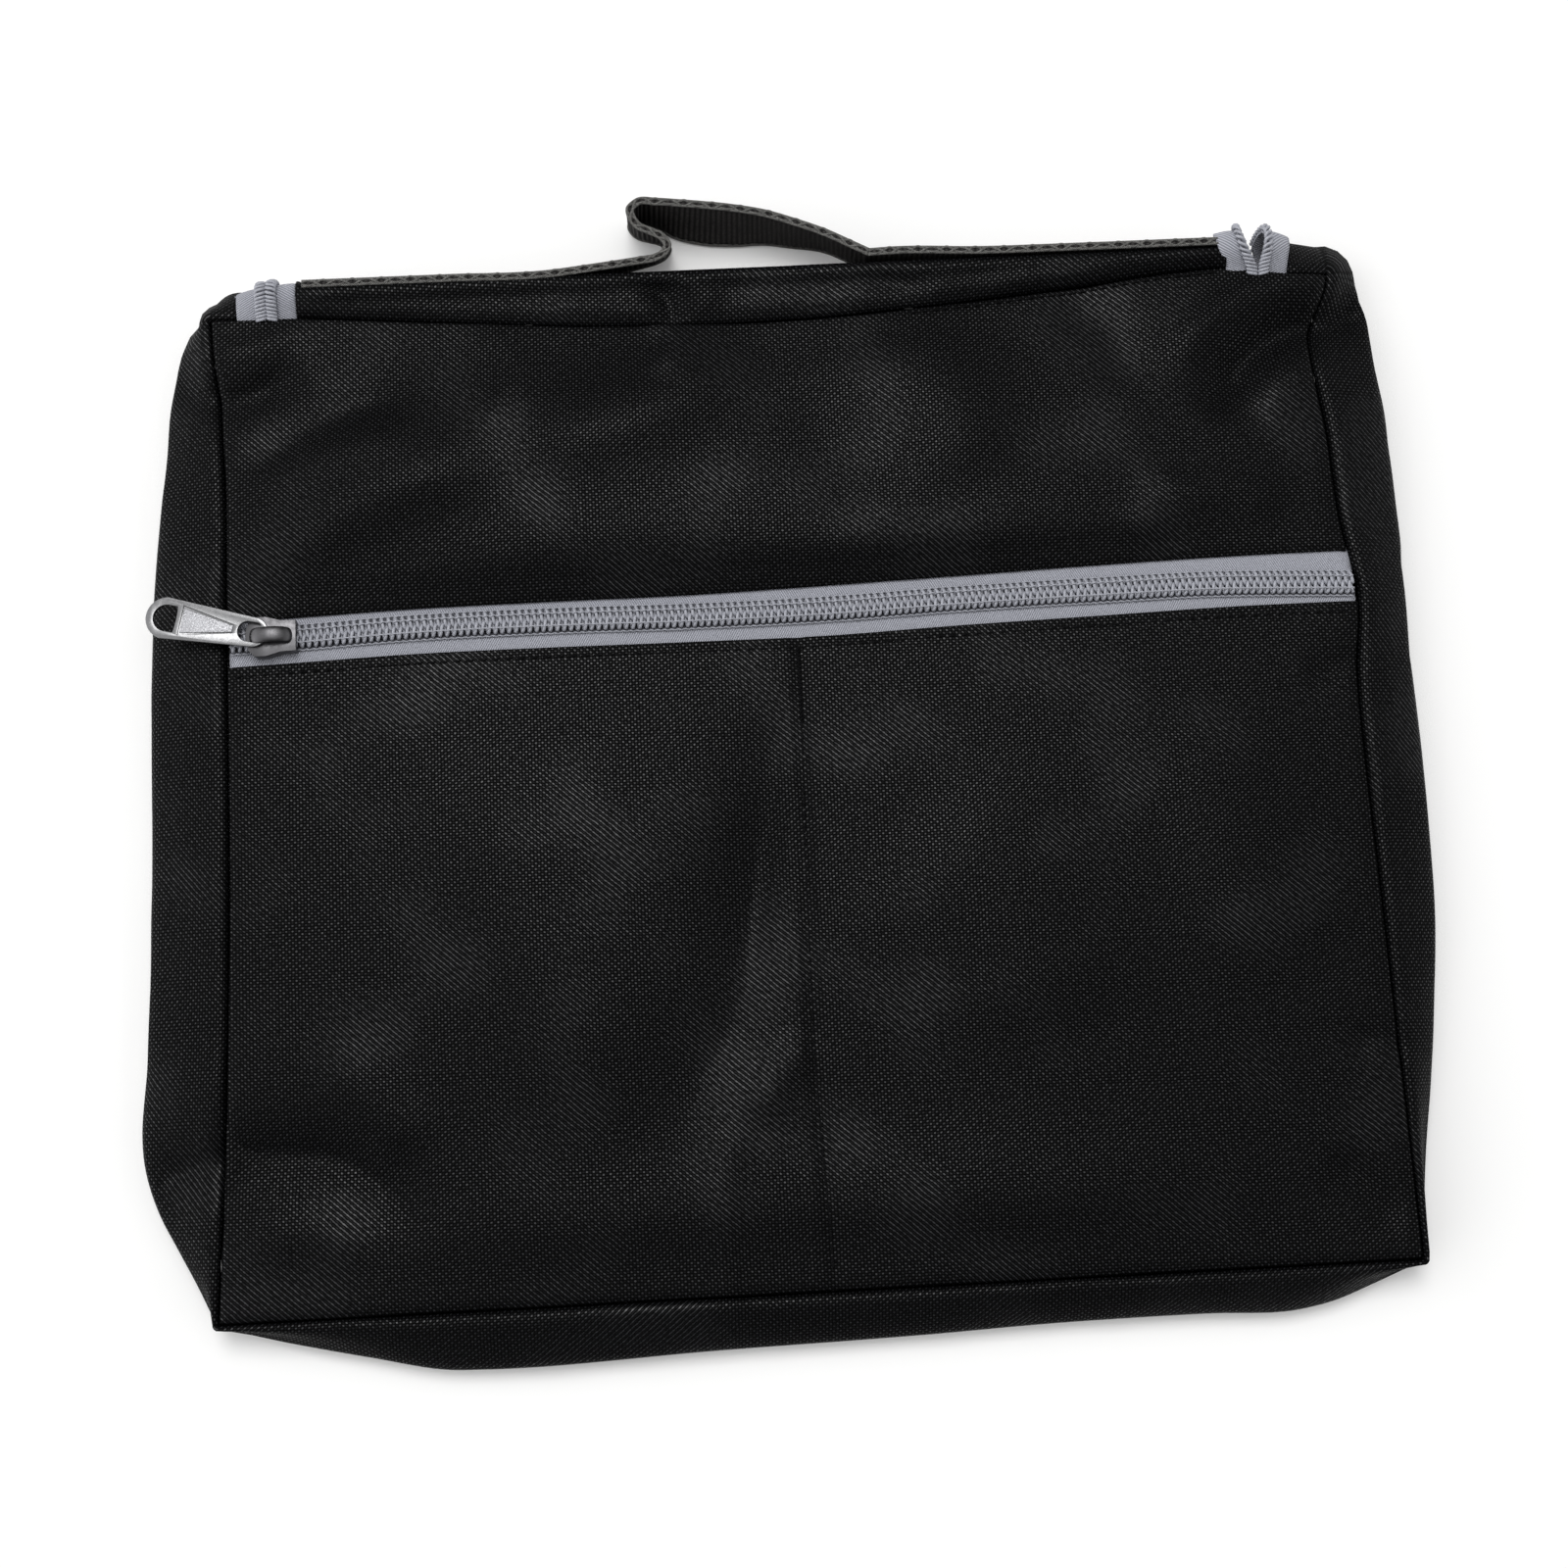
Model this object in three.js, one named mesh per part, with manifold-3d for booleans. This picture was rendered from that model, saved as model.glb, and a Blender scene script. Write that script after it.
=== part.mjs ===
// A flat travel pouch of woven cloth, lying on its back, in millimetres.
// X runs from left to right along the front, Y toward the handle, Z out of the front.
// The front has a zipped pocket with a divider seam. The back has a long zip that
// comes over the top edge at both ends, so the flap and the top strip open as a lid.

import * as THREE from 'three';
import Module from 'manifold-3d';

const wasm = await Module();
wasm.setup();
const { lerp, smoothstep, degToRad } = THREE.MathUtils;

// Cloth shell
const panelWidth = 280;
const panelHeight = 243.5;
const pouchDepth = 12;
const cloth = 0.6;
const layerGap = 0.15;
const seamGap = 0.15;
const sideBow = 3.5;
const sideLean = 4;
const backShift = -0.8;
const backBow = 4;
const upperPuff = 1.8;
const pocketPuff = 2.2;

// Folded side strip: how far its crease stands outside the front seam
const creaseHeight = 5.5;
const creaseRound = 1.1;
const reachLeft = 19;
const reachRight = 14;
const reachBottom = 13;
const reachTopLeft = 8.5;
const reachTopRight = 10.5;
const reachTopCorner = 4;
const tuckedReach = 1.5;

// Length over which the crease goes from its corner reach to its full reach
const leftRuns = [38, 34];
const bottomRuns = [48, 26];
const rightRuns = [76, 30];

// Zips
const bandWidth = 14;
const tapeThick = 0.6;
const tapeHalf = 12;
const chainGap = 0.5;
const coilEdge = 2.95;
const coilRise = 2;
const toothPitch = 1.67;
const pocketZipDrop = 81.15;
const pocketZipRise = 2;
const zipInsetLeft = 12;
const zipInsetRight = 16;
const mainZipMargin = 17;
const mainZipRadius = 30;
const channelDeep = 6.25;
const channelShallow = 3;
const channelSlope = 12;

// Pocket wall and divider seam
const dividerX = 2;
const backingDrop = 1.4;
const backingRamp = 5;
const backingLap = 10;

// Handle of woven tape, sewn to the top strip on both sides of a free loop
const webbingWidth = 14.4;
const webbingThick = 1.8;
const handleInsetLeft = 23.5;
const handleInsetRight = 28;
const loopLeft = -26;
const loopRight = 26;
const loopLean = 1.4;

// Sliders and pullers
const sliderInset = 14.8;
const mainSliderDrop = 43.75;
const plateThick = 1.2;
const innerPlateThick = 1;
const slotGap = 0.25;
const tunnelHeight = 1.75;
const archThick = 0.9;
const crownHalfLength = 5.2;
const crownHalfWidth = 2;
const pullerLength = 30;
const pullerThick = 1;
const pullerYaw = 13;
const pullerTilt = 3.5;
const pullerLift = 0.1;

// Colours
const blackCloth = { color: 0x1b1c1f, roughness: 0.92, metalness: 0 };
const greyTape = { color: 0x8b8e97, roughness: 0.85, metalness: 0 };
const greyCoil = { color: 0x9a9da6, roughness: 0.55, metalness: 0 };
const darkWebbing = { color: 0x55534f, roughness: 0.9, metalness: 0 };
const blackThread = { color: 0x0d0d0f, roughness: 0.8, metalness: 0 };
const satinMetal = { color: 0x7d7b79, roughness: 0.35, metalness: 1 };
const brightMetal = { color: 0xb9bac0, roughness: 0.3, metalness: 1 };

const halfWidth = panelWidth / 2;
const halfHeight = panelHeight / 2;
const pocketZipY = halfHeight - pocketZipDrop;
const mainZipLeft = halfWidth - zipInsetLeft;
const mainZipRight = halfWidth - zipInsetRight;
const handleLeft = -halfWidth + handleInsetLeft;
const handleRight = halfWidth - handleInsetRight;
const sliderX = -halfWidth + sliderInset;
const mainSliderY = halfHeight - mainSliderDrop;
const tapeFace = pouchDepth - cloth - layerGap;
const up = new THREE.Vector3(0, 0, 1);
const point = (x, y, z) => new THREE.Vector3(x, y, z);
const spread = (from, to, count) => Array.from({ length: count + 1 }, (_, i) => lerp(from, to, i / count));

// The side seams of the front: the left one bows inward, the right one leans.
const leftSeam = (y) => -halfWidth + sideBow * (1 - (y / halfHeight) ** 2);
const rightSeam = (y) => halfWidth - sideLean * (y / halfHeight + 1) / 2;
const backSeam = (y, side) => side * halfWidth + backShift - backBow * (1 - (y / halfHeight) ** 2);
const pocketZip = (x) => pocketZipY + pocketZipRise * x / panelWidth;

const meshes = [];
function addMesh(name, geometry, finish) {
  const mesh = new THREE.Mesh(geometry, new THREE.MeshStandardMaterial({ ...finish, flatShading: true }));
  mesh.name = name;
  meshes.push(mesh);
  return mesh;
}

// Corner numbers of the triangles that fill a section made of a face line and its inner line, wound as it is.
function fillSection(count) {
  const triangles = [];
  for (let i = 0; i < (count - 2) / 2; i += 1) {
    const j = count - 1 - i;
    triangles.push([i, i + 1, j]);
    if (i + 1 < j - 1) triangles.push([i + 1, j - 1, j]);
  }
  return triangles;
}

// A closed solid through a row of sections with equal numbers of points.
function loft(sections) {
  const count = sections[0].length;
  const corners = sections.flat();
  const triangles = [];
  for (let k = 0; k + 1 < sections.length; k += 1) {
    for (let i = 0; i < count; i += 1) {
      const a = k * count + i;
      const b = k * count + (i + 1) % count;
      triangles.push([a, b, b + count], [a, b + count, a + count]);
    }
  }
  const last = (sections.length - 1) * count;
  fillSection(count).forEach(([a, b, c]) => {
    triangles.push([a, c, b]);
    triangles.push([last + a, last + b, last + c]);
  });
  const volume = triangles.reduce((sum, [a, b, c]) => (
    sum + corners[a].dot(corners[b].clone().cross(corners[c]))), 0);
  const wound = volume > 0 ? triangles : triangles.map(([a, b, c]) => [a, c, b]);
  const geometry = new THREE.BufferGeometry();
  geometry.setAttribute('position', new THREE.Float32BufferAttribute(corners.flatMap((p) => p.toArray()), 3));
  geometry.setIndex(wound.flat());
  geometry.computeVertexNormals();
  return geometry;
}

// A cloth sheet: rows are functions of x that give y, and the face height is the outer one.
function clothSheet(columns, rows, faceHeight, thick, leftEdge, rightEdge) {
  return loft(columns.map((x, i) => {
    const face = rows.map((row) => {
      const y = row(x);
      const left = i === 0 && leftEdge ? leftEdge(y) : x;
      const placed = i === columns.length - 1 && rightEdge ? rightEdge(y) : left;
      return point(placed, y, faceHeight(placed, y));
    });
    const under = face.map((p) => point(p.x, p.y, p.z - thick)).reverse();
    return [...face, ...under];
  }));
}
const rowsBetween = (lower, upper, count) => spread(0, 1, count).map((t) => (x) => lerp(lower(x), upper(x), t));

// A bent line moved sideways by a distance, with its corners kept sharp.
function offsetLine(line, distance) {
  return line.map((p, i) => {
    const before = line[Math.max(i - 1, 0)];
    const after = line[Math.min(i + 1, line.length - 1)];
    const one = (i === 0 ? after.clone().sub(p) : p.clone().sub(before)).normalize();
    const two = (i === line.length - 1 ? one.clone() : after.clone().sub(p)).normalize();
    const normal = new THREE.Vector2(-one.y - two.y, one.x + two.x).normalize();
    const stretch = Math.min(1 / Math.max(normal.dot(new THREE.Vector2(-one.y, one.x)), 0.5), 1.4);
    return p.clone().addScaledVector(normal, distance * stretch);
  });
}
const flatLine = (pairs) => pairs.map(([a, b]) => new THREE.Vector2(a, b));

// Front cloth, above and below the pocket zip
const puffAt = (along, across, rise) => rise * Math.sin(Math.PI * along) * Math.sin(Math.PI * across);
const share = (value, from, to) => THREE.MathUtils.clamp((value - from) / (to - from), 0, 1);
const bandTop = (x) => pocketZip(x) + bandWidth / 2;
const bandBottom = (x) => pocketZip(x) - bandWidth / 2;
const seamLeftEdge = (y) => leftSeam(y) + seamGap;
const seamRightEdge = (y) => rightSeam(y) - seamGap;
const upperHeight = (x, y) => pouchDepth
  + puffAt(share(x, leftSeam(y), rightSeam(y)), share(y, bandTop(x), halfHeight), upperPuff);
function pocketHeight(x, y) {
  const half = x < dividerX ? share(x, leftSeam(y), dividerX) : share(x, rightSeam(y), dividerX);
  return pouchDepth + puffAt(half, share(y, -halfHeight, bandBottom(x)), pocketPuff);
}
addMesh('front_upper_panel', clothSheet(
  spread(-halfWidth, halfWidth, 14),
  rowsBetween(bandTop, () => halfHeight - seamGap, 6),
  upperHeight, cloth, seamLeftEdge, seamRightEdge,
), blackCloth);
const pocketColumns = [...spread(-halfWidth, dividerX, 8), ...spread(dividerX, halfWidth, 8).slice(1)];
addMesh('pocket_panel', clothSheet(
  pocketColumns,
  rowsBetween(() => -halfHeight + seamGap, bandBottom, 8),
  pocketHeight, cloth, seamLeftEdge, seamRightEdge,
), blackCloth);

// Wall behind the pocket: it rises to the layers that it is sewn to at its edges and at the divider.
const backingFace = tapeFace - tapeThick - layerGap;
const dividerTop = pocketZip(dividerX) - tapeHalf - 1;
function backingHeight(x, y) {
  const side = Math.min(x - leftSeam(y), rightSeam(y) - x, y + halfHeight);
  const top = pocketZip(x) + bandWidth / 2 + backingLap - y;
  const edge = 1 - smoothstep(Math.min(side, top), 0, backingRamp);
  const ridge = (1 - share(Math.abs(x - dividerX), 0, backingRamp)) * (1 - smoothstep(y, dividerTop - backingRamp, dividerTop));
  return lerp(backingFace - backingDrop * (1 - edge), tapeFace, ridge);
}
addMesh('pocket_backing', clothSheet(
  [
    -halfWidth, -halfWidth + backingRamp + sideBow, -halfWidth / 2, dividerX - backingRamp, dividerX,
    dividerX + backingRamp, halfWidth / 2, halfWidth - backingRamp - sideLean, halfWidth,
  ],
  [
    () => -halfHeight + seamGap, () => -halfHeight + backingRamp, () => -halfHeight / 3,
    () => dividerTop - backingRamp, () => dividerTop,
    (x) => bandTop(x) + backingLap - backingRamp, (x) => bandTop(x) + backingLap,
  ],
  backingHeight, cloth, seamLeftEdge, seamRightEdge,
), blackCloth);

// Pocket zip: two tape halves and two rows of coil
const zipEnd = 1.2;
const tapeColumns = spread(-halfWidth + sideBow + zipEnd, rightSeam(pocketZipY) - zipEnd, 4);
[['upper', 1], ['lower', -1]].forEach(([name, side]) => {
  addMesh(`pocket_zip_tape_${name}`, clothSheet(
    tapeColumns,
    [chainGap, tapeHalf].map((offset) => (x) => pocketZip(x) + side * offset),
    () => tapeFace, tapeThick,
  ), greyTape);
  addMesh(`pocket_zip_coil_${name}`, coilRow(side), greyCoil);
});

// One row of coil as a comb: its teeth point away from the middle of the zip.
function coilRow(side) {
  const from = tapeColumns[0];
  const to = tapeColumns.at(-1);
  const teeth = Math.floor((to - from) / toothPitch);
  const outline = [[from, chainGap], [from + teeth * toothPitch, chainGap]];
  for (let k = teeth; k > 0; k -= 1) {
    outline.push([from + k * toothPitch, coilEdge - 0.7], [from + (k - 0.5) * toothPitch, coilEdge]);
  }
  outline.push([from, coilEdge - 0.7]);
  const shape = new THREE.Shape(outline.map(([x, y]) => new THREE.Vector2(x, side * y)));
  const geometry = new THREE.ExtrudeGeometry(shape, { depth: coilRise - layerGap, bevelEnabled: false });
  const place = geometry.getAttribute('position');
  for (let i = 0; i < place.count; i += 1) {
    place.setXYZ(i, place.getX(i), place.getY(i) + pocketZip(place.getX(i)), place.getZ(i) + tapeFace + layerGap / 2);
  }
  geometry.computeVertexNormals();
  return geometry;
}

// The side strip, folded along its middle: one band from zip end to zip end round the sides and bottom.
const bandEndLeft = -mainZipLeft - bandWidth / 2 - seamGap;
const bandEndRight = mainZipRight + bandWidth / 2 + seamGap;
const diagonal = Math.SQRT1_2;
const corner = {
  topLeft: [-halfWidth, halfHeight], topRight: [rightSeam(halfHeight), halfHeight],
  bottomLeft: [-halfWidth, -halfHeight], bottomRight: [halfWidth, -halfHeight],
};
const rise = (distance, run) => Math.sin(Math.min(distance / run, 1) * Math.PI / 2);
const creaseReach = (full, ends, fromStart, fromEnd, startRun, endRun) => Math.min(
  lerp(ends[0], full, rise(fromStart, startRun)),
  lerp(ends[1], full, rise(fromEnd, endRun)),
);
function bandStations() {
  const list = [];
  const add = (x, y, outX, outY, reach, backX, backY) => list.push({ x, y, outX, outY, reach, backX, backY });
  [bandEndLeft, (bandEndLeft + corner.topLeft[0]) / 2].forEach((x, i) => {
    add(x, halfHeight, 0, 1, lerp(reachTopLeft, reachTopCorner + tuckedReach, i), x, halfHeight);
  });
  add(...corner.topLeft, -diagonal, diagonal, reachTopCorner, backSeam(halfHeight, -1), halfHeight);
  spread(0, panelHeight, 13).slice(1, -1).forEach((down) => {
    const y = halfHeight - down;
    const reach = creaseReach(reachLeft, [reachTopCorner, tuckedReach], down, panelHeight - down, ...leftRuns);
    add(leftSeam(y), y, -1, 0, reach, backSeam(y, -1), y);
  });
  add(...corner.bottomLeft, -diagonal, -diagonal, tuckedReach, backSeam(halfHeight, -1), -halfHeight);
  spread(0, panelWidth, 11).slice(1, -1).forEach((along) => {
    const x = -halfWidth + along;
    const reach = creaseReach(reachBottom, [tuckedReach, tuckedReach], along, panelWidth - along, ...bottomRuns);
    add(x, -halfHeight, 0, -1, reach, x + backShift, -halfHeight);
  });
  add(...corner.bottomRight, diagonal, -diagonal, tuckedReach, backSeam(halfHeight, 1), -halfHeight);
  spread(0, panelHeight, 10).slice(1, -1).forEach((rising) => {
    const y = -halfHeight + rising;
    const reach = creaseReach(reachRight, [tuckedReach, reachTopRight], rising, panelHeight - rising, ...rightRuns);
    add(rightSeam(y), y, 1, 0, reach, backSeam(y, 1), y);
  });
  add(...corner.topRight, diagonal, diagonal, reachTopRight, backSeam(halfHeight, 1), halfHeight);
  add(bandEndRight, halfHeight, 0, 1, reachTopRight, bandEndRight, halfHeight);
  return list;
}
function bandSection({ x, y, outX, outY, reach, backX, backY }) {
  const gap = seamGap;
  const backOut = (backX - x) * outX + (backY - y) * outY + gap;
  const slip = point(backX - x, backY - y, 0).addScaledVector(point(outX, outY, 0), -(backOut - gap));
  const tip = Math.max(reach - 1, 0.5 * reach, gap + cloth + 0.1);
  const face = flatLine([
    [gap, pouchDepth],
    [Math.max(lerp(gap, tip, 0.55), gap + cloth + 0.1), lerp(pouchDepth, creaseHeight + creaseRound, 0.42)],
    [tip, creaseHeight + creaseRound],
    [Math.max(reach, tip + 0.3), creaseHeight],
    [tip, creaseHeight - creaseRound],
    [lerp(tip, backOut, 0.55), 0.9],
    [backOut, 0],
  ]);
  const inner = offsetLine(face, -cloth).reverse();
  inner[0].set(backOut, cloth);
  inner.at(-1).set(gap, pouchDepth - cloth * 1.15);
  return [...face, ...inner].map((p) => point(x, y, p.y)
    .addScaledVector(point(outX, outY, 0), p.x)
    .addScaledVector(slip, 1 - p.y / pouchDepth));
}
addMesh('gusset_band', loft(bandStations().map(bandSection)), blackCloth);

// Section of the top edge: how the zip ends and the top strip go over it, as distance past the seam and height.
const foldLine = (channel) => flatLine([
  [seamGap, tapeFace], [3.6, 12.5], [6.4, 12.8], [8, 11.9], [8.5, 10.4],
  [8.3, channel + 1.9], [7.5, channel + 0.5], [5.9, channel], [-0.5, channel],
]);
const wallLine = flatLine([
  [seamGap, pouchDepth], [3.2, 13.5], [5.4, 14.3], [6.5, 14], [7, 12.8],
  [8.6, 2.8], [8.2, 1], [6.8, 0], [seamGap, 0],
]);

// Route of the main zip, from the front seam over the top edge, round the back and up to the front seam.
const zipBottom = -halfHeight + mainZipMargin;
const leftCentre = point(-mainZipLeft + mainZipRadius, zipBottom + mainZipRadius, 0);
const rightCentre = point(mainZipRight - mainZipRadius, zipBottom + mainZipRadius, 0);
function foldStations(x, side, channel) {
  const line = foldLine(channel);
  const faces = offsetLine(line, 1);
  return line.map((p, i) => ({
    place: point(x, halfHeight + p.x, p.y),
    side: point(side, 0, 0),
    out: i === line.length - 1 ? point(0, 0, -1) : point(0, faces[i].x - p.x, faces[i].y - p.y).normalize(),
  }));
}
function cornerStations(centre, from, to, heightFrom, heightTo) {
  const backCorner = point(backSeam(halfHeight, Math.sign(centre.x)), -halfHeight, 0).sub(centre);
  const middle = Math.atan2(backCorner.y, backCorner.x);
  const angles = [...spread(from, middle, 4), ...spread(middle, to, 4).slice(1)];
  return angles.map((angle, i) => {
    const side = point(Math.cos(angle), Math.sin(angle), 0);
    const place = centre.clone().addScaledVector(side, mainZipRadius);
    place.z = lerp(heightFrom, heightTo, smoothstep(i / 8, 0, 1));
    return { place, side, out: point(0, 0, -1) };
  });
}
const backStation = (x, y, side, height) => ({ place: point(x, y, height), side, out: point(0, 0, -1) });
const leftSide = point(-1, 0, 0);
const rightSide = point(1, 0, 0);
const mainRoute = [
  ...foldStations(-mainZipLeft, -1, channelDeep),
  backStation(-mainZipLeft, halfHeight / 2, leftSide, channelDeep),
  backStation(-mainZipLeft, 0, leftSide, channelDeep),
  ...cornerStations(leftCentre, -Math.PI, -Math.PI / 2, channelDeep, channelShallow),
  ...cornerStations(rightCentre, -Math.PI / 2, 0, channelShallow, channelShallow),
  backStation(mainZipRight, 0, rightSide, channelShallow),
  backStation(mainZipRight, halfHeight / 2, rightSide, channelShallow),
  ...foldStations(mainZipRight, 1, channelShallow).reverse(),
];
const onFold = (station) => station.place.y > halfHeight - 1;

// A strip along the route: sideways from near to far, and outward from low to high.
function alongRoute(stations, near, far, low, high) {
  return loft(stations.map((station) => {
    const spanFar = typeof far === 'function' ? far(station) : far;
    return [[near, low], [spanFar, low], [spanFar, high], [near, high]].map(([sideways, outward]) => (
      station.place.clone().addScaledVector(station.side, sideways).addScaledVector(station.out, outward)));
  }));
}
const foldedHalf = bandWidth / 2 - seamGap;
addMesh('main_zip_tape_outer', alongRoute(
  mainRoute, chainGap, (s) => (onFold(s) ? foldedHalf : bandWidth / 2 + 2.5), -tapeThick, 0,
), greyTape);
addMesh('main_zip_tape_inner', alongRoute(
  mainRoute, -chainGap, (s) => (onFold(s) ? -foldedHalf : -tapeHalf), -tapeThick, 0,
), greyTape);

// The coil starts a little past the seam, so that it clears the front when the lid opens.
const coilStart = 0.35;
const coilEnd = (seam, next) => ({ ...seam, place: seam.place.clone().lerp(next.place, coilStart) });
const coilRoute = [
  coilEnd(mainRoute[0], mainRoute[1]), ...mainRoute.slice(1, -1), coilEnd(mainRoute.at(-1), mainRoute.at(-2)),
];
[['outer', 1], ['inner', -1]].forEach(([name, side]) => {
  addMesh(`main_zip_coil_${name}`, alongRoute(
    coilRoute, side * chainGap, side * coilEdge, layerGap / 2, coilRise,
  ), greyCoil);
});

// Border of the back, between the back seam and the main zip
const clothUnderTape = layerGap + cloth;
function backSeamDistance({ place, side }) {
  const down = side.y < -1e-6 ? (-halfHeight - place.y) / side.y : Infinity;
  let across = 0;
  for (let pass = 0; pass < 6 && Math.abs(side.x) > 1e-6; pass += 1) {
    across = (backSeam(place.y + across * side.y, Math.sign(side.x)) - place.x) / side.x;
  }
  return Math.abs(side.x) > 1e-6 ? Math.min(across, down) : down;
}
function borderSection(station) {
  const edge = bandWidth / 2;
  const reach = backSeamDistance(station) - seamGap;
  const height = station.place.z - clothUnderTape;
  const foot = Math.max(reach - channelSlope, edge + 2.5);
  const face = [[edge, height], [lerp(edge, foot, 0.8) + (reach - foot) * 0.45, height * 0.25], [reach, 0]];
  const lifted = face.map(([sideways, z]) => [sideways, z + cloth]).reverse();
  return [...face, ...lifted].map(([sideways, z]) => {
    const p = station.place.clone().addScaledVector(station.side, sideways);
    p.z = z;
    return p;
  });
}
const borderHeights = spread(halfHeight - seamGap, leftCentre.y + 10, 9);
const borderRoute = [
  ...borderHeights.map((y) => backStation(-mainZipLeft, y, leftSide, channelDeep)),
  ...mainRoute.filter((station) => station.place.y <= leftCentre.y),
  ...borderHeights.map((y) => backStation(mainZipRight, y, rightSide, channelShallow)).reverse(),
];
addMesh('back_border', loft(borderRoute.map(borderSection)), blackCloth);

// Height of the back flap's resting face: flat in the middle and lifted toward the zip.
const flapLeft = -mainZipLeft + bandWidth / 2;
const flapRight = mainZipRight - bandWidth / 2;
const flapBottom = zipBottom + bandWidth / 2;
const flapRadius = mainZipRadius - bandWidth / 2;
function flapHeight(x, y) {
  const lift = (distance, channel) => (channel - clothUnderTape) * (1 - smoothstep(distance, 0, channelSlope));
  const centre = x < 0 ? leftCentre : rightCentre;
  const inCorner = y < centre.y && Math.abs(x) > Math.abs(centre.x);
  const sideways = x < 0 ? x - flapLeft : flapRight - x;
  const channel = x < 0 ? channelDeep : channelShallow;
  if (!inCorner) return Math.max(lift(sideways, channel), lift(y - flapBottom, channelShallow));
  const away = point(x, y, 0).sub(centre);
  const turned = Math.atan2(Math.abs(away.y), Math.abs(away.x)) / (Math.PI / 2);
  return lift(flapRadius - away.length(), lerp(channel, channelShallow, smoothstep(turned, 0, 1)));
}
function flapEdge(x) {
  const centre = x < 0 ? leftCentre : rightCentre;
  const past = Math.max(Math.abs(x) - Math.abs(centre.x), 0);
  return centre.y - Math.sqrt(Math.max(flapRadius ** 2 - past ** 2, 0));
}
const arcShares = spread(90, 0, 5).map((angle) => Math.sin(degToRad(angle)));
const flapColumns = [
  ...arcShares.map((s) => leftCentre.x - flapRadius * s),
  ...arcShares.map((s) => rightCentre.x + flapRadius * s).reverse(),
];
addMesh('back_flap', clothSheet(
  flapColumns,
  [
    ...[0, 0.34, 0.67, 1.05].map((part) => (x) => flapEdge(x) + part * channelSlope),
    () => halfHeight * 2 / 3, () => halfHeight - seamGap,
  ],
  (x, y) => flapHeight(x, y) + cloth, cloth,
), blackCloth);

// Top strip between the zip ends: it stands up as a wall where the handle is sewn on.
const wallRun = 4;
function stripSection(x) {
  const fromEnd = Math.min(x - flapLeft, flapRight - x);
  const blend = smoothstep(fromEnd, 0, wallRun);
  const folded = offsetLine(foldLine(x < 0 ? channelDeep : channelShallow), clothUnderTape);
  const face = folded.map((p, i) => p.clone().lerp(wallLine[i], blend));
  face[0].set(seamGap, pouchDepth);
  face.at(-1).set(seamGap, flapHeight(x, halfHeight));
  const inner = offsetLine(face, -cloth).reverse();
  inner[0].set(seamGap, face.at(-1).y + cloth);
  return [...face, ...inner].map((p) => point(x, halfHeight + p.x, p.y));
}
const stripEnds = [0.1, 1.4, 2.7, wallRun];
addMesh('top_strip', loft([
  ...stripEnds.map((d) => flapLeft + d),
  ...spread(-halfWidth * 0.6, halfWidth * 0.6, 4),
  ...stripEnds.map((d) => flapRight - d).reverse(),
].map(stripSection)), blackCloth);

// Handle: woven tape standing on edge against the wall of the top strip
const webbingFoot = 0.3;
const wallSlope = (wallLine[5].x - wallLine[4].x) / (wallLine[4].y - wallLine[5].y);
const webbingInside = (z) => halfHeight + wallLine[5].x + wallSlope * (wallLine[5].y - z) + layerGap;
function sewnRun(from, to) {
  const top = webbingFoot + webbingWidth;
  return loft([from, to].map((x) => [
    point(x, webbingInside(webbingFoot), webbingFoot), point(x, webbingInside(top), top),
    point(x, webbingInside(top) + webbingThick, top), point(x, webbingInside(webbingFoot) + webbingThick, webbingFoot),
  ]));
}
addMesh('handle_run_left', sewnRun(handleLeft, loopLeft), darkWebbing);
addMesh('handle_run_right', sewnRun(loopRight, handleRight), darkWebbing);

// Free loop: it folds back on itself at the left and comes down to the right run.
const runMiddle = webbingInside(webbingFoot + webbingWidth / 2) + webbingThick / 2;
const loopCurve = new THREE.CatmullRomCurve3([
  [loopLeft + 0.3, 0], [-24, 1.6], [-24.6, 4.4], [-29.5, 7.6], [-34.2, 10.2], [-35.4, 13],
  [-31.5, 14.4], [-20, 12.9], [-6, 10.4], [7, 7.3], [17, 4.1], [22.5, 1.2], [loopRight - 0.3, 0],
].map(([x, dy]) => point(x, runMiddle + dy, webbingFoot + webbingWidth / 2)), false, 'centripetal');
const loopStations = spread(0, 1, 44).map((t) => {
  const ahead = loopCurve.getTangentAt(t);
  if (t === 0 || t === 1) ahead.set(1, 0, 0);
  const outward = point(-ahead.y, ahead.x, 0).normalize();
  const middle = loopCurve.getPointAt(t);
  const lean = lerp(wallSlope * webbingWidth / 2, -loopLean, Math.sin(Math.PI * t));
  return [[-1, -1], [1, -1], [1, 1], [-1, 1]].map(([side, high]) => middle.clone()
    .addScaledVector(outward, side * webbingThick / 2)
    .add(point(0, -high * lean, high * webbingWidth / 2)));
});
addMesh('handle_loop', loft(loopStations), darkWebbing);

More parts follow.
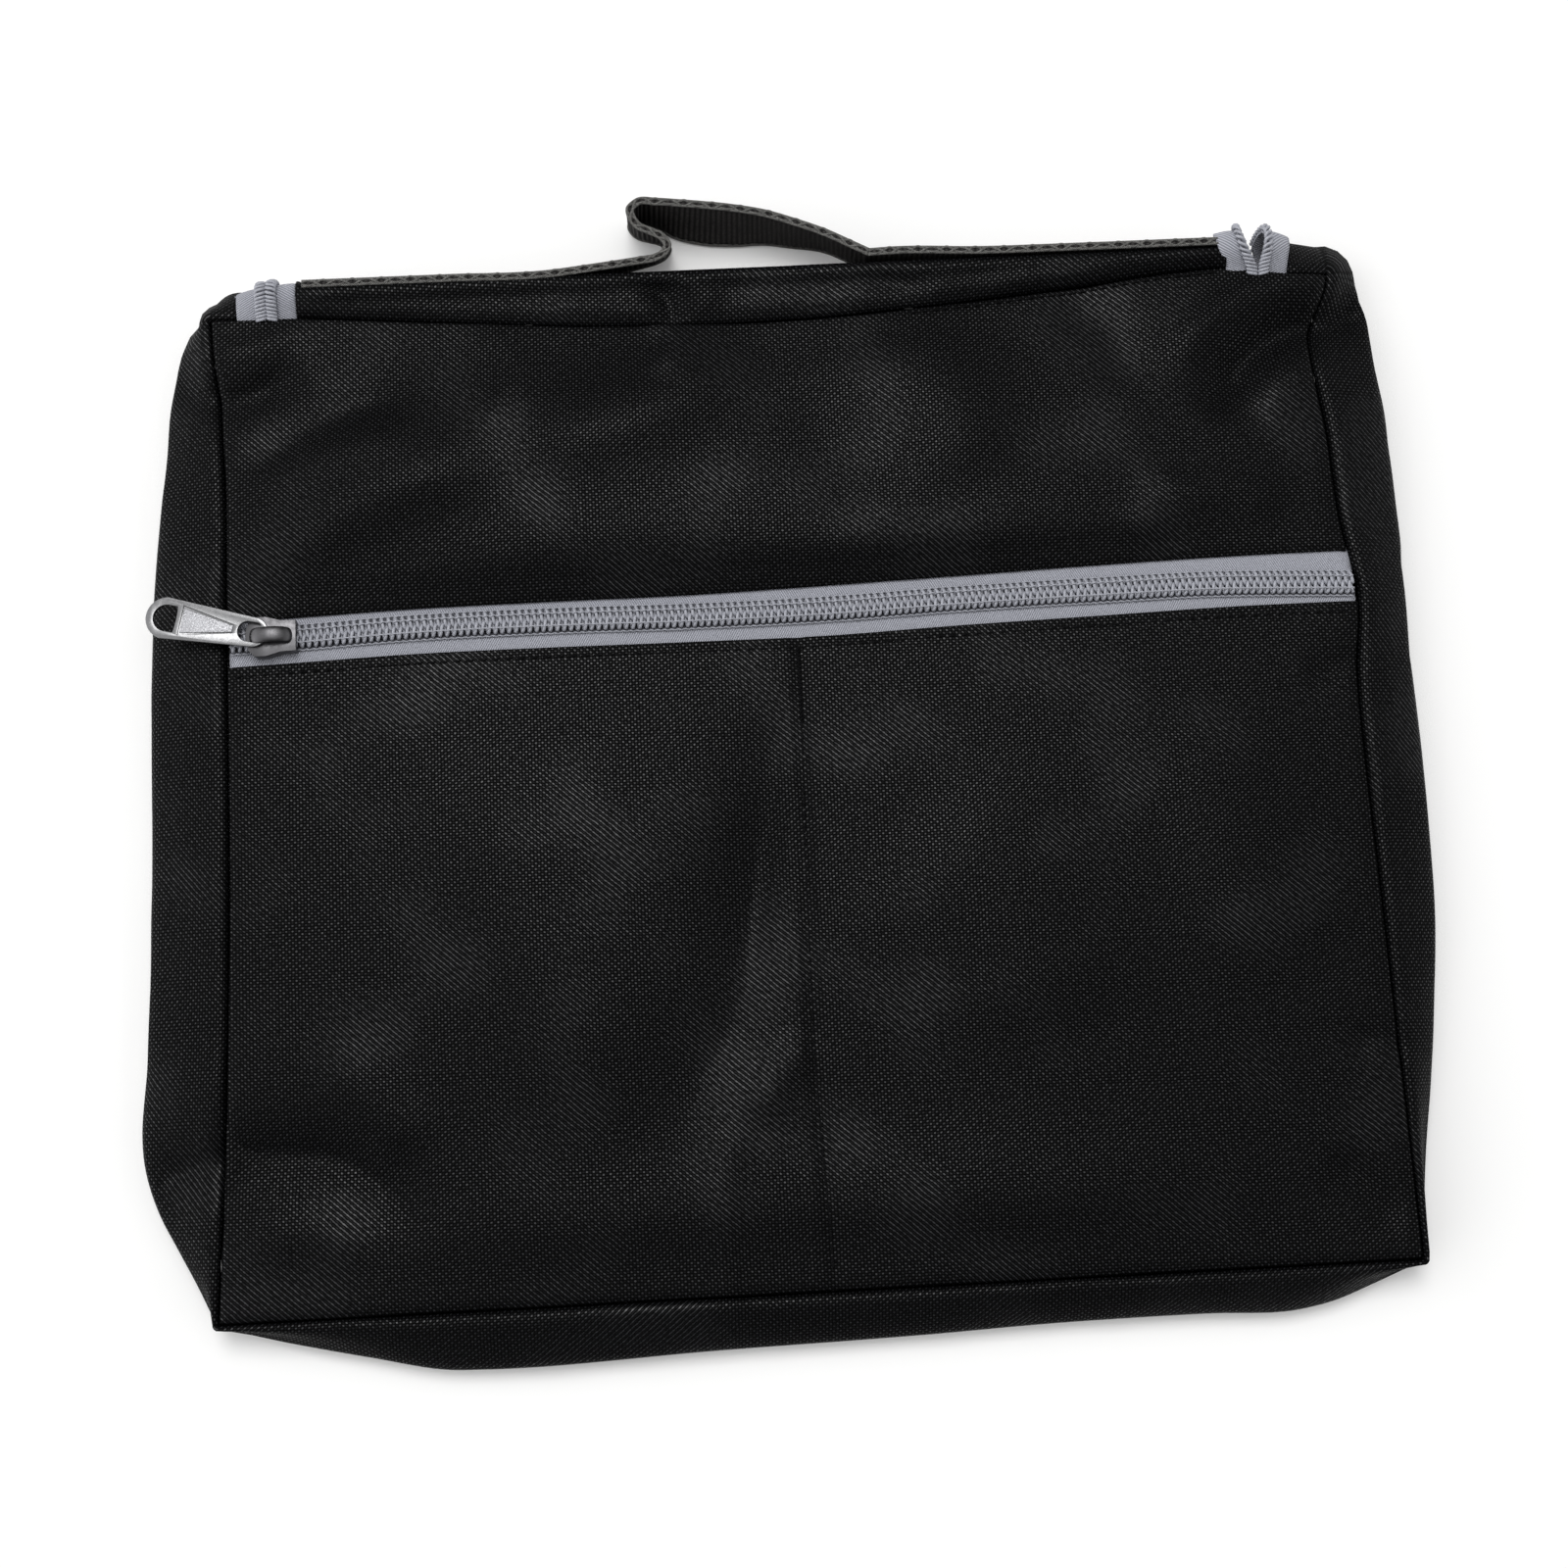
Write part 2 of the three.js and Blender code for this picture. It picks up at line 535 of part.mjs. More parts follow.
// Solid helpers for the metal pieces
function toSolid(geometry) {
  const { position } = geometry.attributes;
  const seen = new Map();
  const vertices = [];
  const triangles = [];
  const order = geometry.index ? [...geometry.index.array] : [...Array(position.count).keys()];
  order.forEach((i) => {
    const place = [position.getX(i), position.getY(i), position.getZ(i)].map((v) => Math.round(v * 1e5) / 1e5);
    const key = place.join();
    if (!seen.has(key)) {
      seen.set(key, vertices.length / 3);
      vertices.push(...place);
    }
    triangles.push(seen.get(key));
  });
  const kept = [];
  for (let i = 0; i < triangles.length; i += 3) {
    const [a, b, c] = triangles.slice(i, i + 3);
    if (a !== b && b !== c && c !== a) kept.push(a, b, c);
  }
  return new wasm.Manifold(new wasm.Mesh({
    numProp: 3, vertProperties: new Float32Array(vertices), triVerts: new Uint32Array(kept),
  }));
}
function toGeometry(solid) {
  const mesh = solid.getMesh();
  const geometry = new THREE.BufferGeometry();
  geometry.setAttribute('position', new THREE.BufferAttribute(new Float32Array(mesh.vertProperties), 3));
  geometry.setIndex([...mesh.triVerts]);
  geometry.computeVertexNormals();
  return geometry;
}
const extruded = (shape, from, to) => toSolid(new THREE.ExtrudeGeometry(
  shape, { depth: to - from, bevelEnabled: false, curveSegments: 8 },
).translate(0, 0, from));
const block = (x0, x1, y0, y1, z0, z1) => toSolid(
  new THREE.BoxGeometry(x1 - x0, y1 - y0, z1 - z0).translate((x0 + x1) / 2, (y0 + y1) / 2, (z0 + z1) / 2),
);

// Slider body: the nose with the shoulders points along +X, and height 0 is the tape's face.
const plateTop = coilRise + slotGap + plateThick;
const plateHalf = [[-6, 3.8], [-2.4, 3.9], [1.2, 4.9], [3.8, 4.9], [5.4, 3.4], [6.1, 1.4]];
function plateShape(inset) {
  const outline = [...plateHalf, ...plateHalf.map(([x, y]) => [x, -y]).reverse()];
  return new THREE.Shape(outline.map(([x, y]) => new THREE.Vector2(x - Math.sign(x) * inset, y - Math.sign(y) * inset)));
}
function sliderGeometry() {
  const under = -tapeThick - slotGap;
  const grip = coilEdge + 0.2;
  const outer = extruded(plateShape(0), slotGap, plateTop)
    .subtract(block(-7, 7, -grip, grip, 0, coilRise + slotGap));
  const inner = extruded(plateShape(0.3), under - innerPlateThick, under);
  const post = block(3, 5, -chainGap / 2 - 0.05, chainGap / 2 + 0.05, under - 0.2, coilRise + slotGap + 0.2);
  const bean = new THREE.SphereGeometry(1, 18, 12);
  bean.scale(crownHalfLength, crownHalfWidth, tunnelHeight + archThick).translate(0, 0, plateTop);
  const crown = toSolid(bean)
    .intersect(block(-7, 7, -3, 3, plateTop - 0.3, plateTop + 4))
    .subtract(block(-3.3, 3.3, -3, 3, plateTop, plateTop + tunnelHeight));
  return toGeometry(outer.add(inner).add(post).add(crown));
}

// Puller: the bar under the crown is at the origin, and the wide end lies along +X.
function pullerGeometry() {
  const barHalf = pullerThick / 2;
  const eyeRound = 3.65;
  const eyeMiddle = eyeRound - barHalf - 0.3;
  const wideRound = 5.2;
  const wideMiddle = pullerLength - wideRound - barHalf;
  const outline = new THREE.Shape();
  outline.absarc(eyeMiddle, 0, eyeRound, degToRad(94), degToRad(266), false);
  outline.absarc(wideMiddle, 0, wideRound, degToRad(-86), degToRad(86), false);
  outline.closePath();
  const eye = new THREE.Path();
  const eyeHalf = 2.5;
  const eyeSoft = 1.2;
  const eyeEnd = barHalf + 6;
  eye.absarc(barHalf + eyeSoft, eyeHalf - eyeSoft, eyeSoft, Math.PI / 2, Math.PI, false);
  eye.absarc(barHalf + eyeSoft, eyeSoft - eyeHalf, eyeSoft, Math.PI, Math.PI * 1.5, false);
  eye.absarc(eyeEnd - eyeHalf, 0, eyeHalf, -Math.PI / 2, Math.PI / 2, false);
  const opening = new THREE.Path();
  const openHalf = 3.2;
  opening.moveTo(wideMiddle - 2.4, openHalf);
  opening.lineTo(wideMiddle - 2.4, -openHalf);
  opening.absarc(wideMiddle, 0, openHalf, -Math.PI / 2, Math.PI / 2, false);
  outline.holes.push(eye, opening);
  const plate = extruded(outline, -barHalf, barHalf);
  const recess = new THREE.Shape(flatLine([[8.2, -1.9], [wideMiddle - 3.6, -3.4], [wideMiddle - 3.6, 3.4], [8.2, 1.9]]));
  return toGeometry(plate.subtract(extruded(recess, barHalf - 0.25, barHalf + 1)));
}

const pocketSlider = addMesh('pocket_slider_body', sliderGeometry(), satinMetal);
pocketSlider.position.set(sliderX, pocketZip(sliderX), tapeFace);
pocketSlider.rotation.z = Math.PI;
const pocketPuller = addMesh('pocket_puller', pullerGeometry(), brightMetal);
pocketPuller.position.set(sliderX, pocketZip(sliderX), tapeFace + plateTop + tunnelHeight / 2 + pullerLift);
pocketPuller.rotation.set(0, degToRad(pullerTilt), degToRad(180 - pullerYaw), 'ZYX');

// The main slider is parked on the back near its left end, with its outer side facing down.
const mainSlider = addMesh('main_slider_body', sliderGeometry(), satinMetal);
mainSlider.position.set(-mainZipLeft, mainSliderY, channelDeep);
mainSlider.rotation.set(Math.PI, 0, -Math.PI / 2, 'ZYX');
const mainPuller = addMesh('main_puller', pullerGeometry(), brightMetal);
mainPuller.position.set(-mainZipLeft, mainSliderY, channelDeep - plateTop - tunnelHeight / 2);
mainPuller.rotation.set(Math.PI, 0, Math.PI / 2, 'ZYX');

// Stitch lines of black thread on the front
const threadRound = 0.5;
function stitchLine(from, to, height) {
  const across = to.clone().sub(from).cross(up).normalize().multiplyScalar(threadRound / 2);
  const ends = [from, to];
  return loft(ends.map((end) => [[-1, 0], [1, 0], [0, 1]].map(([side, high]) => {
    const p = end.clone().addScaledVector(across, side);
    p.z = height + high * threadRound;
    return p;
  })));
}
addMesh('pocket_divider_stitch', stitchLine(
  point(dividerX, bandBottom(dividerX) - 0.5, 0), point(dividerX, -halfHeight + 2, 0), pouchDepth + 0.1,
), blackThread);

// The part stands with the middle of its outer box over the origin.
const pouch = new THREE.Group();
pouch.add(...meshes);
pouch.updateMatrixWorld(true);
const bounds = new THREE.Box3().setFromObject(pouch, true);
const centre = bounds.getCenter(point(0, 0, 0));
pouch.position.set(-centre.x, -centre.y, -bounds.min.z);
pouch.updateMatrixWorld(true);
const measured = bounds.getSize(point(0, 0, 0)).toArray().map((length) => length.toFixed(2));
const shift = pouch.position.toArray().map((length) => length.toFixed(3));
console.log('size', measured.join(' x '), 'shift', shift.join(' '));

export default pouch;
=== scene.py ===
# %% [markdown]
# # A flat travel pouch
#
# The real object is a pouch of coarse black cloth that lies on its back. Its front has a
# zipped pocket with a divider seam, and a folded strip runs round its sides. A woven
# handle stands on the top edge, and the two ends of the long back zip come over that edge.
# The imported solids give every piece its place, so this script only dresses them.

# %% Load the frame
import math

import bpy
import numpy as np
from mathutils import Matrix, Vector, noise


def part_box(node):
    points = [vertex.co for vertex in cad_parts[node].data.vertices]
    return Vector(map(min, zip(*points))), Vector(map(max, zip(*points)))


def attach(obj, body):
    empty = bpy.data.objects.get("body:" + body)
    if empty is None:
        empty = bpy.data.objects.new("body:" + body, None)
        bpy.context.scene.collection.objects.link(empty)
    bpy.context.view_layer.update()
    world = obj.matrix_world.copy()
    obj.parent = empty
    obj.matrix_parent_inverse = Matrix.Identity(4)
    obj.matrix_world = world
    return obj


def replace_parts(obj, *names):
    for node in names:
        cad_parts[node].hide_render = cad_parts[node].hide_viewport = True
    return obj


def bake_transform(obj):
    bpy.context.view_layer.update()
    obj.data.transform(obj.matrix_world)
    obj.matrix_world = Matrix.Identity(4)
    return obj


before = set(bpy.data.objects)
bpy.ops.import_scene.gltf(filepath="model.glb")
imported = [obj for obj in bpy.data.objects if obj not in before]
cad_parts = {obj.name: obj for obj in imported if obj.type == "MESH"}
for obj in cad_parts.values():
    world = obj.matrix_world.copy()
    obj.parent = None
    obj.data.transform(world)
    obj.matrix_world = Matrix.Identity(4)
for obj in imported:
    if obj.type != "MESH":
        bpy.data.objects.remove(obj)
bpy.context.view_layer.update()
bpy.ops.object.select_all(action="DESELECT")

# %% [markdown]
# Everything is thought of in millimetres from the middle of the front panel, as a pattern
# cutter would. One function turns such a point into the part's own frame in metres. The
# shift is read from two solids, so it stays right if the outer box changes.

# %% Sizes and place
MM = 0.001
HALF_WIDTH = 140
HALF_HEIGHT = 121.75
DEPTH = 12
CLOTH = 0.6
GAP = 0.15
DIVIDER_X = 2
divider_low, divider_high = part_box("pocket_divider_stitch")
panel_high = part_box("front_upper_panel")[1]
SHIFT = np.array([
    (divider_low.x + divider_high.x) / 2 - DIVIDER_X * MM,
    panel_high.y - (HALF_HEIGHT - GAP) * MM,
    0,
])


def in_part(points):
    return np.asarray(points, float) * MM + SHIFT


def show(item):
    bpy.context.scene.collection.objects.link(item)


print("middle of the front at", np.round(SHIFT, 5))

# %% [markdown]
# ## Camera and light
#
# The picture was taken by hand from above, a little below the middle of the pouch. The
# four corners of the front give the place and turn of the camera.

# %% Camera
CAMERA_PLACE = (-16.709, -90.263, 523.211)
CAMERA_DEGREES = (9.842, -0.978, -3.023)
camera_data = bpy.data.cameras.new("camera")
camera_data.sensor_width = 36
camera_data.lens = 49.5
camera_data.clip_start = 0.01
camera = bpy.data.objects.new("camera", camera_data)
camera.location = in_part(CAMERA_PLACE)
camera.rotation_euler = [math.radians(turn) for turn in CAMERA_DEGREES]
show(camera)
bpy.context.scene.camera = camera
print("camera", [round(value, 4) for value in camera.location])

# %% [markdown]
# The room is bright above and behind the pouch, and dark where the photographer stood.
# Black cloth shows that room in its faint sheen, so slopes toward the lower right go
# black. The world is therefore bright overhead and low down at both sides, and one large
# lamp beyond the top edge draws the folds.


# %% Lamp
def area_lamp(name, place, target, size, power):
    lamp = bpy.data.lights.new(name, "AREA")
    lamp.size = size
    lamp.energy = power
    holder = bpy.data.objects.new(name, lamp)
    holder.location = place
    aim = Vector(target) - Vector(place)
    holder.rotation_euler = aim.to_track_quat("-Z", "Y").to_euler()
    show(holder)


area_lamp("window_lamp", place=(-0.2, 0.92, 2.4), target=(0, 0, 0), size=1.1, power=23)
bpy.context.scene.view_settings.view_transform = "Standard"
print("window lamp in place")

# %% [markdown]
# ## Building with nodes
#
# Each material is a small network. The helper below adds one node, sets its options and
# wires its inputs in order, so a network reads from top to bottom like a recipe.


# %% Node helpers
def fill_socket(tree, socket, value):
    if isinstance(value, bpy.types.NodeSocket):
        tree.links.new(value, socket)
    elif value is not None:
        socket.default_value = value


def add_node(tree, kind, *inputs, **options):
    node = tree.nodes.new(kind)
    for option, value in options.items():
        setattr(node, option, value)
    for socket, value in zip(node.inputs, inputs):
        fill_socket(tree, socket, value)
    return node


def math_node(tree, operation, *inputs):
    return add_node(tree, "ShaderNodeMath", *inputs, operation=operation).outputs[0]


def vector_node(tree, operation, *inputs):
    return add_node(tree, "ShaderNodeVectorMath", *inputs, operation=operation).outputs[0]


def remap(tree, value, low, high, to_low, to_high):
    return add_node(tree, "ShaderNodeMapRange", value, low, high, to_low, to_high).outputs[0]


def split(tree, vector):
    return add_node(tree, "ShaderNodeSeparateXYZ", vector).outputs


def noise_node(tree, place, scale, detail):
    return add_node(tree, "ShaderNodeTexNoise", place, None, scale, detail).outputs


def object_place(tree):
    return add_node(tree, "ShaderNodeTexCoord").outputs["Object"]


def blend_colours(tree, share, first, second):
    mix = add_node(tree, "ShaderNodeMix", data_type="RGBA")
    for place, value in ((0, share), (6, first), (7, second)):
        fill_socket(tree, mix.inputs[place], value)
    return mix.outputs[2]


# %% Groups and materials
def new_group(name, inputs, outputs):
    group = bpy.data.node_groups.new(name, "ShaderNodeTree")
    for side, sockets in (("INPUT", inputs), ("OUTPUT", outputs)):
        for label, kind in sockets:
            group.interface.new_socket(label, in_out=side, socket_type=kind)
    return group, group.nodes.new("NodeGroupInput"), group.nodes.new("NodeGroupOutput")


def use_group(tree, group, **values):
    node = tree.nodes.new("ShaderNodeGroup")
    node.node_tree = group
    for label, value in values.items():
        fill_socket(tree, node.inputs[label.capitalize()], value)
    return node


def new_material(name, **shader_values):
    material = bpy.data.materials.new(name)
    material.use_nodes = True
    shader = material.node_tree.nodes["Principled BSDF"]
    for label, value in shader_values.items():
        shader.inputs[label.replace("_", " ")].default_value = value
    return material, material.node_tree, shader


def bumped(tree, shader, height, distance):
    bump = tree.nodes.new("ShaderNodeBump")
    bump.inputs["Distance"].default_value = distance
    tree.links.new(height, bump.inputs["Height"])
    tree.links.new(bump.outputs["Normal"], shader.inputs["Normal"])


# %% Room
def make_room(bright_side, dark_level, bright_level, left_level, right_level):
    world = bpy.data.worlds.new("room")
    world.use_nodes = True
    tree = world.node_tree
    direction = add_node(tree, "ShaderNodeTexCoord").outputs["Generated"]
    toward = Vector(bright_side).normalized()
    facing = add_node(tree, "ShaderNodeVectorMath", direction, toward, operation="DOT_PRODUCT")
    level = add_node(
        tree, "ShaderNodeMapRange", facing.outputs["Value"], 0.7, 1.0, dark_level, bright_level,
        interpolation_type="SMOOTHSTEP").outputs[0]
    sideways = split(tree, direction)["X"]
    for edge, share in ((-0.9, left_level), (0.9, right_level)):
        wall = remap(tree, sideways, edge / 2, edge, 0, share)
        level = math_node(tree, "ADD", level, wall)
    light = tree.nodes["Background"]
    light.inputs["Color"].default_value = (0.985, 0.99, 1, 1)
    tree.links.new(level, light.inputs["Strength"])
    bpy.context.scene.world = world


make_room(
    bright_side=(-0.06, 0.28, 0.96), dark_level=0.1, bright_level=1.35, left_level=2.0,
    right_level=0.85)
print("room of light ready")

# %% [markdown]
# ## Cloth and tape finishes
#
# The cloth is a plain weave of slightly uneven yarn: the yarns that lie on top show as
# rows of grey dots on black. The product of two sine waves is positive on every second
# crossing, so it gives both the dots and the relief. That product is the difference of two
# slanted waves; letting one of them win slowly here and there gives the slanted rows that
# show wherever such cloth is pulled a little. The pattern follows each piece's own flat
# pattern, which is kept in its UV map in millimetres.


# %% Weave group
FLOAT, VECTOR = "NodeSocketFloat", "NodeSocketVector"
WARP_SHARE = 0.885
WEFT_SHARE = 0.25
LEAST_LEAN = 0.12
MOST_LEAN = 0.62


def make_weave():
    tree, given, out = new_group(
        "plain weave",
        [("Place", VECTOR), ("Yarn", FLOAT), ("Unevenness", FLOAT)],
        [("Raised", FLOAT), ("Height", FLOAT), ("Tone", FLOAT)],
    )
    place = given.outputs["Place"]
    wobble = noise_node(tree, place, 0.35, 2.0)["Color"]
    spread = vector_node(tree, "SUBTRACT", wobble, (0.5, 0.5, 0.5))
    turn = math_node(tree, "DIVIDE", math.pi, given.outputs["Yarn"])
    moved = vector_node(tree, "SCALE", spread, None, None, given.outputs["Unevenness"])
    bent = vector_node(tree, "ADD", place, moved)
    parts = split(tree, vector_node(tree, "SCALE", bent, None, None, turn))
    along = math_node(tree, "MULTIPLY", parts["X"], WARP_SHARE)
    across = parts["Y"]
    falling = math_node(tree, "COSINE", math_node(tree, "ADD", along, across))
    rising = math_node(tree, "COSINE", math_node(tree, "SUBTRACT", along, across))
    drift = noise_node(tree, place, 0.03, 1.0)[0]
    lean = remap(tree, drift, 0.35, 0.65, LEAST_LEAN, MOST_LEAN)
    rising_part = math_node(tree, "MULTIPLY", rising, lean)
    falling_part = math_node(tree, "MULTIPLY", falling, math_node(tree, "SUBTRACT", 1.0, lean))
    crossing = math_node(tree, "SUBTRACT", rising_part, falling_part)
    warp_crown = remap(tree, crossing, 0.3, 0.85, 0, 1)
    weft_crown = remap(tree, crossing, -0.25, -0.85, 0, WEFT_SHARE)
    tree.links.new(math_node(tree, "ADD", warp_crown, weft_crown), out.inputs["Raised"])
    tree.links.new(math_node(tree, "ABSOLUTE", crossing), out.inputs["Height"])
    fleck = noise_node(tree, place, 0.9, 1.0)[0]
    tree.links.new(remap(tree, fleck, 0.3, 0.7, 0.4, 1.6), out.inputs["Tone"])
    return tree


weave = make_weave()
print("weave group", len(weave.nodes), "nodes")


# %% Rib group
def make_ribs():
    tree, given, out = new_group(
        "slanted ribs",
        [("Place", VECTOR), ("Pitch", FLOAT), ("Slant", FLOAT)],
        [("Rib", FLOAT)],
    )
    parts = split(tree, given.outputs["Place"])
    slanted = math_node(tree, "MULTIPLY", parts["Y"], given.outputs["Slant"])
    along = math_node(tree, "ADD", parts["X"], slanted)
    turn = math_node(tree, "DIVIDE", 2 * math.pi, given.outputs["Pitch"])
    wave = math_node(tree, "SINE", math_node(tree, "MULTIPLY", along, turn))
    tree.links.new(remap(tree, wave, -1, 1, 0, 1), out.inputs["Rib"])
    return tree


ribs = make_ribs()
print("rib group", len(ribs.nodes), "nodes")


# %% Cloth
YARN = 0.686
YARN_DARK = (0.0003, 0.0003, 0.0004, 1)
YARN_LIGHT = (0.015, 0.0154, 0.0172, 1)


def own_pattern(tree):
    return add_node(tree, "ShaderNodeUVMap", uv_map="pattern").outputs[0]


def make_cloth():
    material, tree, shader = new_material(
        "black oxford cloth", Roughness=0.6, Specular_IOR_Level=0.05, Coat_Roughness=0.38,
        Coat_IOR=1.65,
    )
    woven = use_group(tree, weave, place=own_pattern(tree), yarn=YARN, unevenness=0.4)
    crowns = math_node(tree, "POWER", woven.outputs["Raised"], 1.5)
    dots = math_node(tree, "MULTIPLY", crowns, woven.outputs["Tone"])
    colour = blend_colours(tree, dots, YARN_DARK, YARN_LIGHT)
    tree.links.new(colour, shader.inputs["Base Color"])
    tree.links.new(math_node(tree, "MULTIPLY", dots, 0.48), shader.inputs["Coat Weight"])
    bumped(tree, shader, woven.outputs["Height"], 0.00014)
    return material


# %% Tape and coil
# Beside the coil the tape lies in its shade, out to the second of the two distances.
COIL_SHADE = (2.3, 3.3)
SHADE_COLOUR = (0.022, 0.022, 0.03, 1)


def make_tape():
    material, tree, shader = new_material("grey zip tape", Roughness=0.78, Sheen_Weight=0.05)
    rib = use_group(tree, ribs, place=own_pattern(tree), pitch=0.58, slant=0.55).outputs["Rib"]
    cross = use_group(tree, ribs, place=own_pattern(tree), pitch=0.42, slant=-1.6).outputs["Rib"]
    relief = math_node(tree, "ADD", rib, math_node(tree, "MULTIPLY", cross, 0.5))
    share = remap(tree, relief, 0.1, 1.3, 0, 1)
    colour = blend_colours(tree, share, (0.15, 0.155, 0.185, 1), (0.56, 0.57, 0.63, 1))
    across = split(tree, own_pattern(tree))["Y"]
    beside = remap(tree, across, *COIL_SHADE, 0, 1)
    shaded = blend_colours(tree, beside, SHADE_COLOUR, colour)
    tree.links.new(shaded, shader.inputs["Base Color"])
    bumped(tree, shader, relief, 0.00012)
    return material


def make_coil():
    material, tree, shader = new_material("grey nylon coil", Roughness=0.36)
    fibre = noise_node(tree, object_place(tree), 900, 2.0)[0]
    colour = blend_colours(tree, fibre, (0.24, 0.245, 0.275, 1), (0.47, 0.48, 0.53, 1))
    tree.links.new(colour, shader.inputs["Base Color"])
    return material


# %% Webbing and thread
RIB_PITCH = 1.3


def make_yarn(name, dark, light, pitch, slant, roughness):
    material, tree, shader = new_material(name, Roughness=roughness, Specular_IOR_Level=0.15)
    rib = use_group(tree, ribs, place=own_pattern(tree), pitch=pitch, slant=slant).outputs["Rib"]
    fleck = noise_node(tree, object_place(tree), 1600, 2.0)[0]
    share = math_node(tree, "MULTIPLY", rib, remap(tree, fleck, 0.3, 0.7, 0.4, 1.2))
    tree.links.new(blend_colours(tree, share, dark, light), shader.inputs["Base Color"])
    bumped(tree, shader, rib, 0.00008)
    return material


cloth_finish = make_cloth()
tape_finish = make_tape()
coil_finish = make_coil()
webbing_finish = make_yarn(
    "dark webbing", dark=(0.012, 0.011, 0.011, 1), light=(0.060, 0.056, 0.054, 1),
    pitch=RIB_PITCH, slant=0, roughness=0.85)
selvedge_finish = make_yarn(
    "webbing edge yarn", dark=(0.05, 0.049, 0.047, 1), light=(0.27, 0.265, 0.25, 1),
    pitch=0.5, slant=1.0, roughness=0.8)
thread_finish = make_yarn(
    "black sewing thread", dark=(0.0005, 0.0005, 0.0007, 1), light=(0.004, 0.004, 0.005, 1),
    pitch=0.4, slant=0.7, roughness=0.9)
print("cloth finishes ready")

# %% [markdown]
# ## Helpers for soft pieces
#
# A cloth piece is laid out as a grid of points, so its weave lines follow its rows, and a
# Solidify modifier gives it the thickness of cloth. Threads and coils are thin tubes round
# a path. Both keep the flat pattern in millimetres as their UV map.


# %% Pieces and modifiers
def new_piece(name, points, faces, pattern, finish, body):
    mesh = bpy.data.meshes.new(name)
    mesh.from_pydata(in_part(points).tolist(), [], faces)
    layer = mesh.uv_layers.new(name="pattern")
    corners = np.zeros(len(mesh.loops), int)
    mesh.loops.foreach_get("vertex_index", corners)
    layer.data.foreach_set("uv", np.asarray(pattern, float)[corners].ravel())
    mesh.shade_smooth()
    mesh.materials.append(finish)
    piece = bpy.data.objects.new(name, mesh)
    show(piece)
    if body:
        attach(piece, body)
    return piece


def apply_modifier(piece, kind, **options):
    modifier = piece.modifiers.new(kind.lower(), kind)
    for option, value in options.items():
        setattr(modifier, option, value)
    bpy.context.view_layer.objects.active = piece
    bpy.ops.object.modifier_apply(modifier=modifier.name)


# %% Cloth grids
def grid_faces(rows, columns, turned=False):
    faces = []
    for row in range(rows - 1):
        for column in range(columns - 1):
            first = row * columns + column
            face = (first, first + 1, first + columns + 1, first + columns)
            faces.append(face[::-1] if turned else face)
    return faces


def cloth_piece(name, grid, pattern, body, finish=cloth_finish,
                thick=CLOTH, turned=False):
    rows, columns = grid.shape[:2]
    piece = new_piece(
        name, grid.reshape(-1, 3), grid_faces(rows, columns, turned),
        np.asarray(pattern).reshape(-1, 2), finish, body)
    apply_modifier(piece, "SOLIDIFY", thickness=thick * MM, offset=-1)
    print(name, rows, "by", columns)
    return piece


def height_cloth(name, x, y, z, body, turned=False):
    return cloth_piece(
        name, np.stack([x, y, z], -1), np.stack([x, y], -1), body, turned=turned)


# %% Tubes
def unit(vectors):
    return vectors / np.maximum(np.linalg.norm(vectors, axis=-1, keepdims=True), 1e-9)


def tube_parts(path, radius, sides, reference, start):
    path = np.asarray(path, float)
    ahead = unit(np.gradient(path, axis=0))
    across = unit(np.cross(ahead, reference))
    above = np.cross(across, ahead)
    turns = np.linspace(0, 2 * math.pi, sides, endpoint=False)
    ring = np.cos(turns)[:, None] * across[:, None] + np.sin(turns)[:, None] * above[:, None]
    points = (path[:, None] + radius * ring).reshape(-1, 3)
    faces = []
    for k in range(len(path) - 1):
        for side in range(sides):
            low, high = start + k * sides, start + (k + 1) * sides
            after = (side + 1) % sides
            faces.append((low + side, high + side, high + after, low + after))
    faces.append(tuple(start + side for side in range(sides)))
    last = start + (len(path) - 1) * sides
    faces.append(tuple(last + side for side in reversed(range(sides))))
    run = run_length(path)
    pattern = np.stack([np.repeat(run, sides), np.tile(turns * radius, len(path))], axis=1)
    return points, faces, pattern


def tubes_piece(name, paths, radius, sides, reference, finish, body):
    points, faces, pattern = [], [], []
    references = reference if isinstance(reference, list) else [reference] * len(paths)
    for path, sideways in zip(paths, references):
        start = sum(len(part) for part in points)
        part = tube_parts(path, radius, sides, sideways, start)
        points.append(part[0])
        faces += part[1]
        pattern.append(part[2])
    piece = new_piece(
        name, np.concatenate(points), faces, np.concatenate(pattern), finish, body)
    print(name, len(paths), "tubes", len(faces), "faces")
    return piece


# %% Lines and steps
def steps(start, stop, step):
    return np.linspace(start, stop, max(2, int(round(abs(stop - start) / step)) + 1))


def through(stations, at):
    known, values = np.array(stations, float).T
    slopes = np.gradient(values, known)
    at = np.clip(at, known[0], known[-1])
    i = np.clip(np.searchsorted(known, at) - 1, 0, len(known) - 2)
    span = known[i + 1] - known[i]
    t = (at - known[i]) / span
    return (
        (2 * t**3 - 3 * t**2 + 1) * values[i] + (t**3 - 2 * t**2 + t) * span * slopes[i]
        + (3 * t**2 - 2 * t**3) * values[i + 1] + (t**3 - t**2) * span * slopes[i + 1])


def smooth_step(value, low, high):
    t = np.clip((value - low) / (high - low), 0, 1)
    return t * t * (3 - 2 * t)


def bell(value, middle, width):
    return np.exp(-((value - middle) / width) ** 2)


def run_length(points):
    lengths = np.linalg.norm(np.diff(points, axis=0), axis=-1)
    return np.concatenate([np.zeros((1,) + lengths.shape[1:]), np.cumsum(lengths, axis=0)])


